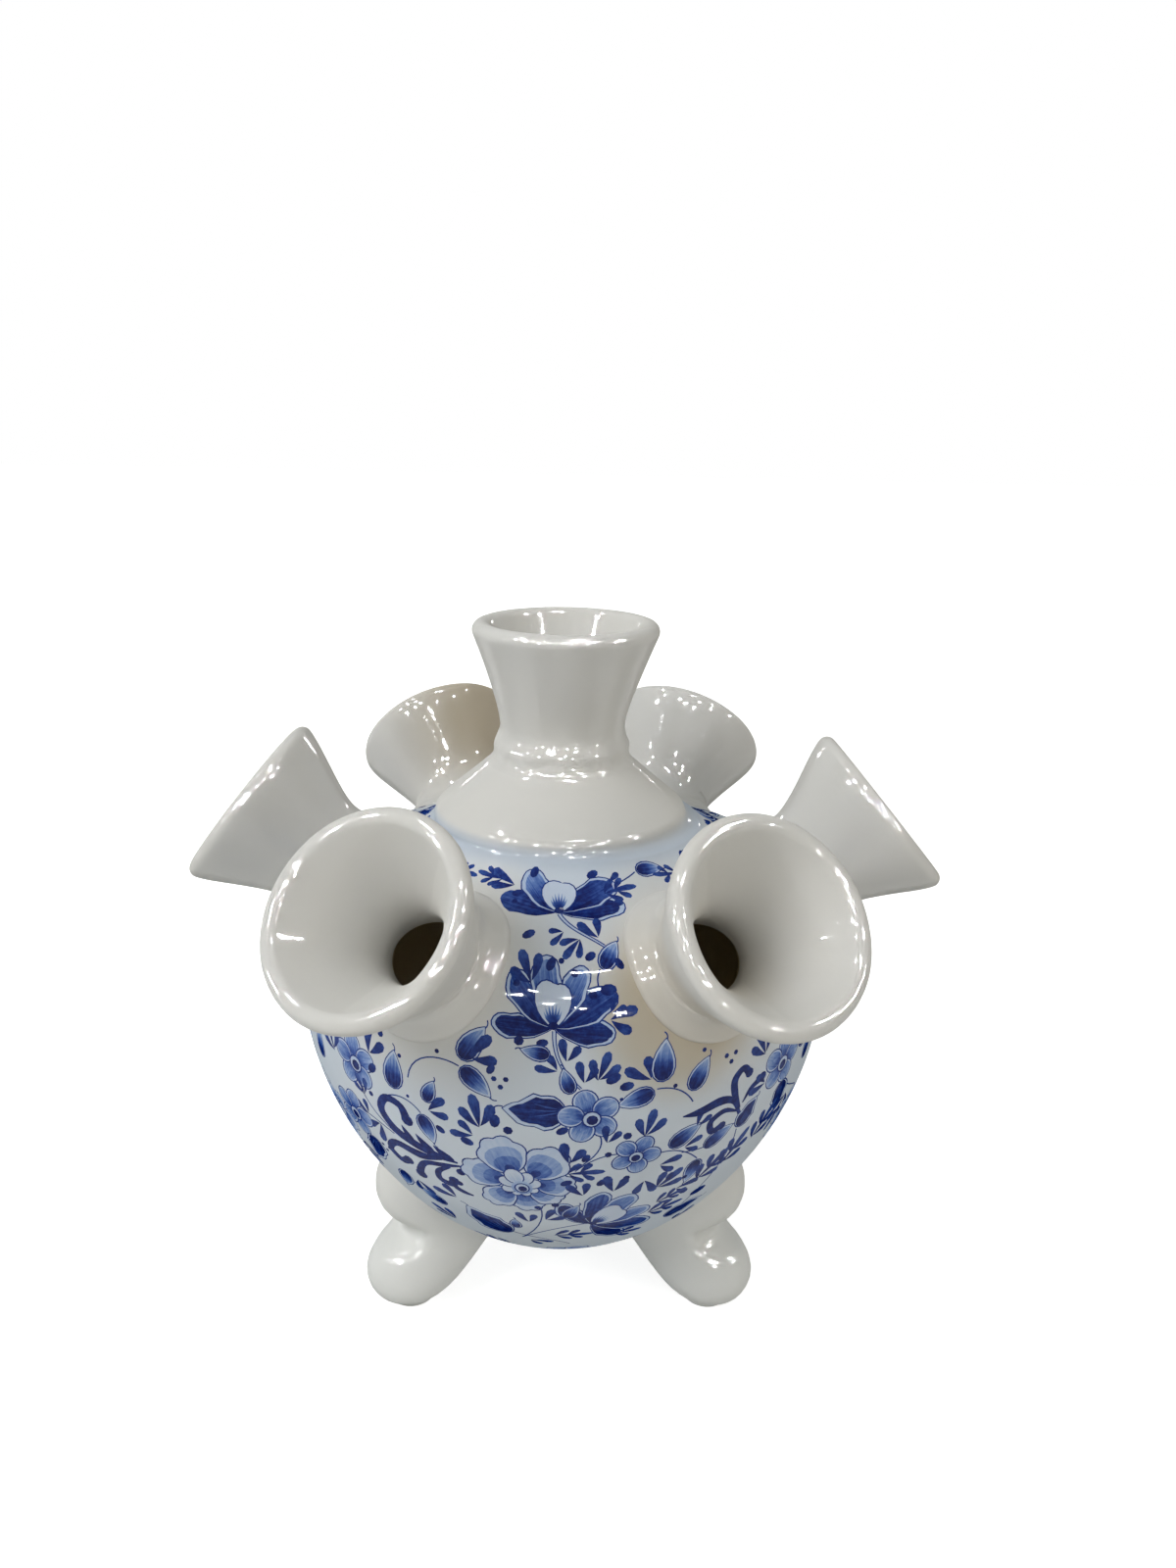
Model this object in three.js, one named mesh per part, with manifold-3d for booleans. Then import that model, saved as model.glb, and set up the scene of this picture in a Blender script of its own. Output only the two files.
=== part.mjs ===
// Tulip vase: a hollow globe on three feet, with one upright spout on its shoulder and six slanted
// spouts round its upper half. Each piece is cast in slip by itself, in white earthenware, and the
// pieces are joined with slip before firing.
// Millimetres, +Z up. The origin is on the ground below the middle of the globe. The front faces -Y.

import * as THREE from 'three';
import { mergeVertices } from 'three/addons/utils/BufferGeometryUtils.js';
import Module from 'manifold-3d';

const wasm = await Module();
wasm.setup();

// Globe
const groundClearance = 9;
const globeRadius = 57.6;
const globeDepth = 68.3;
const globeRise = 31.5;
const shoulderRadius = 28.6;
const lowerSideReach = 36.3;
const undersideReach = 29.1;
const upperSideReach = 29;
const shoulderReach = 16.6;
const shoulderSlope = 46;
const wallThickness = 4.2;

// Shoulder cone under the upright spout
const coneSetback = 1.6;
const coneEdgeRise = 1.2;
const coneEdgeRounding = 3.2;
const coneHeight = 12.6;
const coneTopRadius = 14;
const coneOffset = -1.2;
const pourHoleRadius = 7.6;

// Upright spout
const centreSpoutLength = 28.7;
const centreMouthRadius = 19.5;
const centreNeckRadius = 13.2;
const centreNeckHeight = 6.3;
const centreFlareAngle = 20.7;
const centreSpoutBend = 1.35;

// Slanted spouts
const sideSpoutSeatRise = 19.5;
const sideSpoutTilt = 38.5;
const sideSpoutLength = 23.5;
const sideMouthRadius = 20.2;
const sideNeckRadius = 12.4;
const sideNeckHeight = 2;
const sideFlareAngle = 14;
const sideSkirtRadius = 17;
const sideSkirtDepth = 7;

// All spouts
const throatRadius = 7;
const throatCutReach = 12.6;
const lipThickness = 3.9;
const flareEase = 0.2;
const jointGap = 0.3;

// Feet
const padSetback = 19;
const padHalfLength = 5;
const toeSetback = 17;
const toeRadius = 8.2;
const toeHalfWidth = 9.8;
const toeStartAngle = -75;
const toeEndAngle = 35;
const creaseSetback = 22.2;
const creaseRise = 7;
const creaseFullAngle = 28;
const creaseEndAngle = 62;
const creaseFlankDepth = 0.3;
const legHalfWidth = 9.2;
const kneeSetback = 22.6;
const kneeRise = 20.5;
const kneeRadius = 11;
const kneeHalfWidth = 11.6;
const kneeStartAngle = -50;
const kneeEndAngle = 60;
const footInnerSlope = 41;
const footInnerReach = 9;

const globeCentreHeight = groundClearance + globeDepth;
const shoulderHeight = globeCentreHeight + globeRise;
const coneTopHeight = shoulderHeight + coneEdgeRise + coneHeight;
const padReach = globeRadius - padSetback;

// The spouts are set by eye, so each azimuth and lean is a little off its sixth of the circle
const sideSpouts = [
  { name: 'side_spout_right', azimuth: 0, lean: 1.7 },
  { name: 'side_spout_back_right', azimuth: 62.5, lean: 1.5 },
  { name: 'side_spout_back_left', azimuth: 119.3, lean: -1.3 },
  { name: 'side_spout_left', azimuth: 177.2, lean: -1.3 },
  { name: 'side_spout_front_left', azimuth: 240.1, lean: 0.9 },
  { name: 'side_spout_front_right', azimuth: 300.5, lean: -1 },
];
const feet = [
  { name: 'foot_front_left', azimuth: 210 },
  { name: 'foot_front_right', azimuth: 330 },
  { name: 'foot_back', azimuth: 90 },
];

// Facets
const globeSegments = 40;
const lowerGlobeSteps = 11;
const upperGlobeSteps = 8;
const spoutSegments = 24;
const footSegments = 16;
const toeSteps = 6;
const kneeSteps = 5;
const edgeSteps = 4;
const wallSteps = 4;
const baseSteps = 3;

const radians = THREE.MathUtils.degToRad;
const point = (radius, height) => new THREE.Vector2(radius, height);

// Glazed pieces, with the blue-painted globe a little darker than the plain white ones
const paintedGlaze = new THREE.MeshStandardMaterial({ color: 0xb9c1d2, roughness: 0.12, metalness: 0 });
const whiteGlaze = new THREE.MeshStandardMaterial({ color: 0xdcdad2, roughness: 0.12, metalness: 0 });

// Geometry to solid and back
function solidOf(geometry) {
  geometry.deleteAttribute('normal');
  geometry.deleteAttribute('uv');
  const merged = mergeVertices(geometry, 1e-4);
  const corners = merged.index.array;
  const kept = [];
  for (let i = 0; i < corners.length; i += 3) {
    const [a, b, c] = corners.slice(i, i + 3);
    if (a !== b && b !== c && c !== a) {
      kept.push(a, b, c);
    }
  }
  const vertProperties = new Float32Array(merged.attributes.position.array);
  return new wasm.Manifold(new wasm.Mesh({ numProp: 3, vertProperties, triVerts: new Uint32Array(kept) }));
}

function geometryOf(solid) {
  const mesh = solid.getMesh();
  const geometry = new THREE.BufferGeometry();
  geometry.setAttribute('position', new THREE.BufferAttribute(mesh.vertProperties, 3));
  geometry.setIndex(new THREE.BufferAttribute(mesh.triVerts, 1));
  geometry.computeVertexNormals();
  return geometry;
}

function pieceFrom(name, solid, material) {
  const piece = new THREE.Mesh(geometryOf(solid), material);
  piece.name = name;
  return piece;
}

// A profile of (radius, height) points turned round the Z axis
function turned(profile, segments) {
  return new THREE.LatheGeometry(profile, segments).rotateX(Math.PI / 2);
}

function arc(centreRadius, centreHeight, radius, fromAngle, toAngle, steps) {
  const points = [];
  for (let i = 0; i <= steps; i += 1) {
    const angle = radians(fromAngle + (toAngle - fromAngle) * i / steps);
    points.push(point(centreRadius + radius * Math.cos(angle), centreHeight + radius * Math.sin(angle)));
  }
  return points;
}

// The same outline moved sideways by a distance, to its right as it runs
function offsetOutline(points, distance) {
  return points.map((here, i) => {
    const before = points[Math.max(i - 1, 0)];
    const after = points[Math.min(i + 1, points.length - 1)];
    const along = after.clone().sub(before).normalize();
    return point(Math.max(here.x + along.y * distance, 0), here.y - along.x * distance);
  });
}

// Globe outline, from the middle of the underside up to the shoulder
function lowerGlobeCurve() {
  return new THREE.CubicBezierCurve(
    point(0, groundClearance),
    point(undersideReach, groundClearance),
    point(globeRadius, globeCentreHeight - lowerSideReach),
    point(globeRadius, globeCentreHeight),
  );
}

function upperGlobeCurve() {
  const slope = radians(shoulderSlope);
  return new THREE.CubicBezierCurve(
    point(globeRadius, globeCentreHeight),
    point(globeRadius, globeCentreHeight + upperSideReach),
    point(
      shoulderRadius + shoulderReach * Math.cos(slope),
      shoulderHeight - shoulderReach * Math.sin(slope),
    ),
    point(shoulderRadius, shoulderHeight),
  );
}

function globeOutline(lowerSteps, upperSteps) {
  const lower = lowerGlobeCurve().getPoints(lowerSteps);
  const upper = upperGlobeCurve().getPoints(upperSteps);
  return [...lower, ...upper.slice(1)];
}

// Radius of the globe's outside at a height above the ground
function globeRadiusAt(height) {
  const fineSteps = 200;
  const outline = globeOutline(fineSteps, fineSteps);
  const above = outline.findIndex((p) => p.y >= height);
  const high = outline[above];
  const low = outline[above - 1];
  return low.x + (high.x - low.x) * (height - low.y) / (high.y - low.y);
}

// The globe as a full solid, grown by a gap, which cuts whatever is joined to it
function grownGlobe(gap) {
  const outline = offsetOutline(globeOutline(lowerGlobeSteps, upperGlobeSteps), gap);
  const top = outline[outline.length - 1];
  const bottom = outline[0];
  const profile = [point(0, bottom.y), ...outline.slice(1), point(0, top.y)];
  return solidOf(turned(profile, globeSegments));
}

// A round rod on the Z axis, which opens a throat through a wall
function throatCutter(radius, from, to) {
  const profile = [point(0, from), point(radius, from), point(radius, to), point(0, to)];
  return turned(profile, spoutSegments);
}

// Puts a piece made on the Z axis on the axis of a slanted spout, with its origin on the globe
function placeOnSpoutAxis(geometry, spout) {
  const seatHeight = globeCentreHeight + sideSpoutSeatRise;
  geometry.rotateY(radians(90 - sideSpoutTilt - spout.lean));
  geometry.translate(globeRadiusAt(seatHeight), 0, seatHeight);
  return geometry.rotateZ(radians(spout.azimuth));
}

// Globe with its shoulder cone, the pour hole under the upright spout and a throat for each slanted one.
// The cone is pressed on by hand, a little to one side.
function bodySolid() {
  const outside = globeOutline(lowerGlobeSteps, upperGlobeSteps);
  const inside = offsetOutline(outside, -wallThickness).reverse();
  const edgeCentre = point(
    shoulderRadius - coneSetback - coneEdgeRounding,
    shoulderHeight + coneEdgeRise,
  );
  const toTop = point(coneTopRadius - edgeCentre.x, coneHeight);
  const coneAngle = THREE.MathUtils.radToDeg(toTop.angle() - Math.acos(coneEdgeRounding / toTop.length()));
  const cone = [
    ...arc(edgeCentre.x, edgeCentre.y, coneEdgeRounding, -coneAngle / 2, coneAngle, edgeSteps),
    point(coneTopRadius, coneTopHeight),
    point(pourHoleRadius, coneTopHeight),
    point(pourHoleRadius, coneTopHeight - wallThickness),
  ];
  const geometry = turned([...outside, ...cone, ...inside], globeSegments);
  const positions = geometry.attributes.position;
  for (let i = 0; i < positions.count; i += 1) {
    if (positions.getZ(i) > shoulderHeight + coneEdgeRise) {
      positions.setX(i, positions.getX(i) + coneOffset);
    }
  }
  const shell = solidOf(geometry);
  return sideSpouts.reduce((solid, spout) => {
    const throat = throatCutter(throatRadius, -throatCutReach, throatCutReach);
    return solid.subtract(solidOf(placeOnSpoutAxis(throat, spout)));
  }, shell);
}

// Wall of a spout from its neck out to the lip and back down inside to the throat
function flaredWall(neckRadius, neckHeight, mouthRadius, length, flareAngle) {
  const flare = radians(flareAngle);
  const lipRadius = lipThickness / 2;
  const lipCentre = point(mouthRadius - lipRadius, length - lipRadius);
  const outerEnd = point(
    lipCentre.x + lipRadius * Math.cos(flare),
    lipCentre.y - lipRadius * Math.sin(flare),
  );
  const innerStart = point(
    lipCentre.x - lipRadius * Math.cos(flare),
    lipCentre.y + lipRadius * Math.sin(flare),
  );
  const reach = (length - neckHeight) * flareEase;
  const along = point(Math.sin(flare), Math.cos(flare)).multiplyScalar(reach);
  const outer = new THREE.CubicBezierCurve(
    point(neckRadius, neckHeight),
    point(neckRadius, neckHeight + reach),
    outerEnd.clone().sub(along),
    outerEnd,
  );
  const inner = new THREE.CubicBezierCurve(
    innerStart,
    innerStart.clone().sub(along),
    point(throatRadius, neckHeight + reach),
    point(throatRadius, neckHeight),
  );
  const lip = arc(lipCentre.x, lipCentre.y, lipRadius, -flareAngle, 180 - flareAngle, edgeSteps);
  return [...outer.getPoints(wallSteps), ...lip.slice(1, -1), ...inner.getPoints(wallSteps)];
}

// Upright spout: a trumpet that stands on the flat top of the shoulder cone and bends over a little
function centreSpoutSolid() {
  const base = new THREE.CubicBezierCurve(
    point(coneTopRadius, 0),
    point(coneTopRadius, centreNeckHeight / 2),
    point(centreNeckRadius, centreNeckHeight / 2),
    point(centreNeckRadius, centreNeckHeight),
  );
  const length = centreSpoutLength - jointGap;
  const wall = flaredWall(centreNeckRadius, centreNeckHeight, centreMouthRadius, length, centreFlareAngle);
  const profile = [
    ...base.getPoints(baseSteps).slice(0, -1),
    ...wall,
    point(throatRadius, 0),
    point(coneTopRadius, 0),
  ];
  const bend = new THREE.Matrix4().makeShear(0, 0, 0, 0, Math.tan(radians(centreSpoutBend)), 0);
  const trumpet = turned(profile, spoutSegments).applyMatrix4(bend);
  return solidOf(trumpet.translate(coneOffset, 0, coneTopHeight + jointGap));
}

// Slanted spout: a shorter, wider trumpet whose skirt spreads onto the globe
function sideSpoutSolid(spout, globe) {
  const skirt = new THREE.QuadraticBezierCurve(
    point(sideSkirtRadius, -sideSkirtDepth),
    point(sideNeckRadius, -sideSkirtDepth / 2),
    point(sideNeckRadius, sideNeckHeight),
  );
  const root = -(sideSkirtDepth + sideSkirtRadius);
  const wall = flaredWall(sideNeckRadius, sideNeckHeight, sideMouthRadius, sideSpoutLength, sideFlareAngle);
  const profile = [
    point(sideSkirtRadius, root),
    ...skirt.getPoints(wallSteps).slice(0, -1),
    ...wall,
    point(throatRadius, root),
    point(sideSkirtRadius, root),
  ];
  return solidOf(placeOnSpoutAxis(turned(profile, spoutSegments), spout)).subtract(globe);
}

// How much of the crease is left at an angle round the foot: all on its outer ridge, little on its flanks
function creaseShareAt(angle) {
  const fromRidge = THREE.MathUtils.radToDeg(Math.min(angle, 2 * Math.PI - angle));
  const faded = THREE.MathUtils.smoothstep(fromRidge, creaseFullAngle, creaseEndAngle);
  return 1 - (1 - creaseFlankDepth) * faded;
}

// How far out a foot would reach at a height without its crease
function uncreasedReachAt(outer) {
  const toeReach = globeRadius - toeSetback + toeRadius;
  const kneeReach = globeRadius - kneeSetback + kneeRadius;
  const kneeHeight = groundClearance + kneeRise;
  if (outer.y <= toeRadius || outer.y >= kneeHeight) {
    return outer.x;
  }
  const straight = toeReach + (kneeReach - toeReach) * (outer.y - toeRadius) / (kneeHeight - toeRadius);
  return Math.max(outer.x, straight);
}

// Outer side of a foot in its own plane: ground pad, round toe, crease and knee
function footOutline() {
  const toe = arc(globeRadius - toeSetback, toeRadius, toeRadius, toeStartAngle, toeEndAngle, toeSteps);
  const kneeHeight = groundClearance + kneeRise;
  const knee = arc(globeRadius - kneeSetback, kneeHeight, kneeRadius, kneeStartAngle, kneeEndAngle, kneeSteps);
  return [
    point(padReach + padHalfLength, 0),
    ...toe,
    point(globeRadius - creaseSetback, groundClearance + creaseRise),
    ...knee,
  ];
}

// Half of a foot's width across its plane, at a height above the ground
function footHalfWidthAt(height) {
  if (height <= toeRadius) {
    const below = (toeRadius - height) / toeRadius;
    return Math.max(padHalfLength, toeHalfWidth * Math.sqrt(1 - below ** 2));
  }
  const creaseHeight = groundClearance + creaseRise;
  const kneeHeight = groundClearance + kneeRise;
  const smooth = THREE.MathUtils.smoothstep;
  const leg = toeHalfWidth + (legHalfWidth - toeHalfWidth) * smooth(height, toeRadius, creaseHeight);
  return leg + (kneeHalfWidth - legHalfWidth) * smooth(height, creaseHeight, kneeHeight);
}

// Foot: level oval slices stacked along an S, cut off where they meet the globe
function footSolid(foot, globe) {
  const outline = footOutline();
  const positions = [];
  outline.forEach((outer) => {
    const sloped = padReach - padHalfLength - outer.y / Math.tan(radians(footInnerSlope));
    const inner = Math.max(sloped, footInnerReach);
    const halfWidth = footHalfWidthAt(outer.y);
    for (let i = 0; i < footSegments; i += 1) {
      const angle = 2 * Math.PI * i / footSegments;
      const plain = uncreasedReachAt(outer);
      const outerReach = plain + (outer.x - plain) * creaseShareAt(angle);
      const reach = (outerReach + inner) / 2 + (outerReach - inner) / 2 * Math.cos(angle);
      positions.push(reach, halfWidth * Math.sin(angle), outer.y);
    }
  });
  const indices = [];
  const top = (outline.length - 1) * footSegments;
  for (let low = 0; low < top; low += footSegments) {
    for (let i = 0; i < footSegments; i += 1) {
      const a = low + i;
      const b = low + (i + 1) % footSegments;
      indices.push(a, b, b + footSegments, a, b + footSegments, a + footSegments);
    }
  }
  for (let i = 1; i < footSegments - 1; i += 1) {
    indices.push(0, i + 1, i);
    indices.push(top, top + i, top + i + 1);
  }
  const geometry = new THREE.BufferGeometry();
  geometry.setAttribute('position', new THREE.Float32BufferAttribute(positions, 3));
  geometry.setIndex(indices);
  return solidOf(geometry.rotateZ(radians(foot.azimuth))).subtract(globe);
}

const vase = new THREE.Group();
const globeWithGap = grownGlobe(jointGap);

vase.add(pieceFrom('body', bodySolid(), paintedGlaze));
vase.add(pieceFrom('centre_spout', centreSpoutSolid(), whiteGlaze));
sideSpouts.forEach((spout) => {
  vase.add(pieceFrom(spout.name, sideSpoutSolid(spout, globeWithGap), whiteGlaze));
});
feet.forEach((foot) => {
  vase.add(pieceFrom(foot.name, footSolid(foot, globeWithGap), whiteGlaze));
});

export default vase;
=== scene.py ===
from math import acos, atan2, cos, degrees, hypot, pi, radians, sin, sqrt, tan

import bmesh
import bpy
import numpy as np
from mathutils import Matrix, Vector, noise
from mathutils.geometry import delaunay_2d_cdt


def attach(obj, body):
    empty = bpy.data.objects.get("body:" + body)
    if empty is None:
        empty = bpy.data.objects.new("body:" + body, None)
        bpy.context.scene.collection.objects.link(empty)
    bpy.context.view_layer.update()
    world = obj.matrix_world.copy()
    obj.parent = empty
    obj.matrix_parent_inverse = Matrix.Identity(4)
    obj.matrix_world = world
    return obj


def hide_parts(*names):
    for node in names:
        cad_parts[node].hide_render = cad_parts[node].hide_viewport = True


# Tulip vase in white earthenware, slip-cast in pieces, joined, painted in cobalt and glazed.
# Sizes are written in millimetres and turned to metres as each mesh is finished.

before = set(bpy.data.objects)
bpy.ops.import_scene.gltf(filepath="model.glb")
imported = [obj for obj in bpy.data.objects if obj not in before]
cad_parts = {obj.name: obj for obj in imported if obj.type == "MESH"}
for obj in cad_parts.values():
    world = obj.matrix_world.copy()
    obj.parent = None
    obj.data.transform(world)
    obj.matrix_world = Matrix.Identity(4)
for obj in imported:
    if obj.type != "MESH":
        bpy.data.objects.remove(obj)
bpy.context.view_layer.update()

# Room: the camera where the photograph was taken from, a pale floor and soft lamps.
# It is 24 cm in front of the vase's middle, a little above it, and tilted a touch to one side.
lens_mm = 26.606
camera_place = Vector((-1.63, -237.94, 190.56)) / 1000
camera_turn = radians(1.5)
camera_pitch = radians(17.439)
camera_roll = radians(1.233)

level = Vector((sin(camera_turn), cos(camera_turn), 0))
forward = level * cos(camera_pitch) - Vector((0, 0, sin(camera_pitch)))
level_right = Vector((cos(camera_turn), -sin(camera_turn), 0))
level_up = level_right.cross(forward)
right = level_right * cos(camera_roll) + level_up * sin(camera_roll)
up = level_up * cos(camera_roll) - level_right * sin(camera_roll)
camera = bpy.data.objects.new("camera", bpy.data.cameras.new("camera"))
camera.data.sensor_width = 36
camera.data.lens = lens_mm
camera.data.clip_start = 0.01
camera.matrix_world = Matrix((
    (right.x, up.x, -forward.x, camera_place.x),
    (right.y, up.y, -forward.y, camera_place.y),
    (right.z, up.z, -forward.z, camera_place.z),
    (0, 0, 0, 1),
))
bpy.context.collection.objects.link(camera)
bpy.context.scene.camera = camera
bpy.context.scene.view_settings.view_transform = "Standard"


def to_linear(hex_colour):
    channels = [int(hex_colour[i:i + 2], 16) / 255 for i in (0, 2, 4)]
    return [c / 12.92 if c <= 0.04045 else ((c + 0.055) / 1.055) ** 2.4 for c in channels] + [1.0]


def add_node(tree, kind, inputs=(), **settings):
    """Adds a shader node. Its inputs are a list in the node's own order, or a dict by number or name,
    and a node among them stands for its first output."""
    node = tree.nodes.new("ShaderNode" + kind)
    for name, value in settings.items():
        setattr(node, name, value)
    for name, value in (inputs.items() if isinstance(inputs, dict) else enumerate(inputs)):
        if isinstance(value, bpy.types.Node):
            value = value.outputs[0]
        if isinstance(value, bpy.types.NodeSocket):
            tree.links.new(value, node.inputs[name])
        else:
            node.inputs[name].default_value = value
    return node


def seen_directly(tree):
    rays = add_node(tree, "LightPath").outputs
    either = add_node(tree, "Math", [rays["Is Camera Ray"], rays["Is Glossy Ray"]], operation="MAXIMUM")
    return add_node(tree, "Math", [either, rays["Is Transmission Ray"]], operation="MAXIMUM")


world = bpy.data.worlds.new("studio")
world.use_nodes = True
bpy.context.scene.world = world
tree = world.node_tree
tree.nodes.clear()
ambient = add_node(tree, "Background", [to_linear("f0f2f1"), 0.57])
white = add_node(tree, "Background", [(1, 1, 1, 1), 1])
add_node(tree, "OutputWorld", [add_node(tree, "MixShader", [seen_directly(tree), ambient, white])])

floor_mesh = bpy.data.meshes.new("floor")
bm = bmesh.new()
bmesh.ops.create_grid(bm, x_segments=1, y_segments=1, size=4)
bm.to_mesh(floor_mesh)
bm.free()
floor = bpy.data.objects.new("floor", floor_mesh)
bpy.context.collection.objects.link(floor)
floor_paint = bpy.data.materials.new("pale_studio_floor")
floor_paint.use_nodes = True
tree = floor_paint.node_tree
tree.nodes.clear()
matt = add_node(tree, "BsdfDiffuse", [to_linear("cfcfcd")])
dark = add_node(tree, "Emission", [(0, 0, 0, 1), 0])
glow = add_node(tree, "Emission", [(1, 1, 1, 1), 0.78])
lifted = add_node(tree, "MixShader", [seen_directly(tree), dark, glow])
add_node(tree, "OutputMaterial", [add_node(tree, "AddShader", [matt, lifted])])
floor_mesh.materials.append(floor_paint)

# Two soft boxes give the even light. Long tubes and small spots round the room give the sharp glints.
# All stand at one distance from the middle of the vase and face it.
# Each lamp: name, degrees round from +X, degrees up, width and height in m, power in W, colour.
vase_middle = Vector((0, 0, 0.08))
lamp_distance = 1.25
lamps = [
    ("soft_box_left", -148, 43, 0.6, 0.6, 9.0, "fdfdff"),
    ("soft_box_right", -44, 17, 0.5, 0.5, 2.3, "fff4e8"),
    ("tube_front", -68, 68.5, 0.26, 0.03, 30, "ffffff"),
    ("tube_left", -176, 58, 0.12, 0.03, 10, "ffffff"),
    ("tube_back_left", 117, 11, 0.02, 0.2, 3, "ffffff"),
    ("tube_back_right", 63, 11, 0.02, 0.2, 3, "ffffff"),
]
spot_directions = (
    (-171, 18), (-158, 34), (-149, 45), (-141, 29), (-133, 38), (-124, 22), (-117, 44), (-111, 32),
    (-104, 39), (-97, 25), (-89, 34), (-83, 20), (-76, 42), (-67, 12), (-60, 30), (-50, 36),
    (-40, 46), (-28, 22), (-14, 27), (-8, 44),
)
for number, (azimuth, elevation) in enumerate(spot_directions):
    lamps.append((f"spot_{number + 1}", azimuth, elevation, 0.075, 0.034, 9.0, "ffffff"))
for name, azimuth, elevation, width, height, power, colour in lamps:
    lamp = bpy.data.lights.new(name, "AREA")
    lamp.shape = "RECTANGLE"
    lamp.size, lamp.size_y = width, height
    lamp.energy = power
    lamp.color = to_linear(colour)[:3]
    stand = bpy.data.objects.new(name, lamp)
    around, rise = radians(azimuth), radians(elevation)
    aim = Vector((cos(around) * cos(rise), sin(around) * cos(rise), sin(rise)))
    stand.location = vase_middle + aim * lamp_distance
    stand.rotation_euler = aim.to_track_quat("Z", "Y").to_euler()
    stand.visible_glossy = not name.startswith("soft")
    stand.visible_diffuse = name.startswith("soft")
    stand.visible_camera = False
    bpy.context.collection.objects.link(stand)

# Globe: the hollow white earthenware body, slip-cast in a two-part mould with its shoulder cone on top.
# It carries every other piece, stuck on with slip. Its outline is turned round the Z axis, and its skin
# is laid out on a flat chart, as distance and bearing from the underside's middle, for the painting.
globe_radius = 57.6
globe_centre = 77.3
wall = 4.2
shoulder_radius = 28.6
shoulder_height = 108.8


def bezier(points, steps):
    t = np.linspace(0, 1, steps + 1)[:, None]
    a, b, c, d = (np.array(p, float) for p in points)
    return (1 - t) ** 3 * a + 3 * (1 - t) ** 2 * t * b + 3 * (1 - t) * t * t * c + t ** 3 * d


underside_height = 9
underside_pull = 29.1
belly_pull_down, belly_pull_up = 36.3, 29
shoulder_pull = 16.6
shoulder_slope = radians(46)
outline_steps = 300
lower_half = bezier([
    (0, underside_height),
    (underside_pull, underside_height),
    (globe_radius, globe_centre - belly_pull_down),
    (globe_radius, globe_centre),
], outline_steps)
upper_half = bezier([
    (globe_radius, globe_centre),
    (globe_radius, globe_centre + belly_pull_up),
    (
        shoulder_radius + shoulder_pull * cos(shoulder_slope),
        shoulder_height - shoulder_pull * sin(shoulder_slope),
    ),
    (shoulder_radius, shoulder_height),
], outline_steps)
outline = np.vstack([lower_half, upper_half[1:]])
outline_polar = np.arctan2(outline[:, 0], globe_centre - outline[:, 1])
outline_reach = np.hypot(outline[:, 0], outline[:, 1] - globe_centre)


def reach_at(polar):
    return np.interp(polar, outline_polar, outline_reach)


def polar_of(directions):
    """Angle of each direction from straight down"""
    return np.arctan2(np.hypot(directions[:, 0], directions[:, 1]), -directions[:, 2])


def globe_points(directions, depth=0.0):
    """Points on the globe's skin, or a depth under it, in unit directions from its middle"""
    points = directions * (reach_at(polar_of(directions)) - depth)[:, None]
    points[:, 2] += globe_centre
    return points


def globe_normals(directions):
    """Outward normals of the skin, from how the reach changes with the polar angle"""
    polar = polar_of(directions)
    small = 0.004
    slope = (reach_at(polar + small) - reach_at(polar - small)) / (2 * small) / reach_at(polar)
    flat = np.maximum(np.hypot(directions[:, 0], directions[:, 1]), 1e-9)
    rising = np.stack([
        np.cos(polar) * directions[:, 0] / flat,
        np.cos(polar) * directions[:, 1] / flat,
        np.sin(polar),
    ], 1)
    normals = directions - slope[:, None] * rising
    return normals / np.linalg.norm(normals, axis=1)[:, None]


def to_chart(directions):
    polar = polar_of(directions)
    around = np.arctan2(directions[:, 1], directions[:, 0])
    return np.stack([polar * np.cos(around), polar * np.sin(around)], 1) * globe_radius


def from_chart(chart):
    polar = np.hypot(chart[:, 0], chart[:, 1]) / globe_radius
    around = np.arctan2(chart[:, 1], chart[:, 0])
    return np.stack([
        np.sin(polar) * np.cos(around),
        np.sin(polar) * np.sin(around),
        -np.cos(polar),
    ], 1)


def above_skin(point):
    """How far a point lies outside the skin, along the line from the globe's middle"""
    x, y, z = point[0], point[1], point[2] - globe_centre
    return sqrt(x * x + y * y + z * z) - float(reach_at(atan2(hypot(x, y), -z)))


def meet_skin(start, along, low=-25.0, high=14.0):
    """Where a line crosses the skin, as a distance along it"""
    for _ in range(40):
        middle = (low + high) / 2
        if above_skin(start + along * middle) > 0:
            high = middle
        else:
            low = middle
    return (low + high) / 2


# Slanted spouts sit on these axes, so the globe has a hand-cut throat hole under each one.
# Each spout: node, degrees round from +X, degrees that it leans up from the common tilt.
spout_seat_height = globe_centre + 19.5
spout_tilt = 38.5
slanted_spouts = [
    ("side_spout_right", 0, 1.7),
    ("side_spout_back_right", 62.5, 1.5),
    ("side_spout_back_left", 119.3, -1.3),
    ("side_spout_left", 177.2, -1.3),
    ("side_spout_front_left", 240.1, 0.9),
    ("side_spout_front_right", 300.5, -1),
]
throat_radius = 7.0
throat_steps = 40
hole_radius = 7.2
hole_undercut = 0.8
side_neck_radius = 12.4
fillet_width = 3.2


def spout_axes(azimuth, lean):
    """Seat point, axis, and the two directions across it: level, and down and outwards"""
    around = radians(azimuth)
    tilt = radians(spout_tilt + lean)
    level_out = np.array([cos(around), sin(around), 0.0])
    axis = level_out * cos(tilt) + np.array([0, 0, sin(tilt)])
    down = level_out * sin(tilt) - np.array([0, 0, cos(tilt)])
    level_side = np.cross(down, axis)
    start = np.array([0, 0, spout_seat_height])
    seat = start + level_out * meet_skin(start, level_out, 20.0, 80.0)
    return seat, axis, level_side, down


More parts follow.
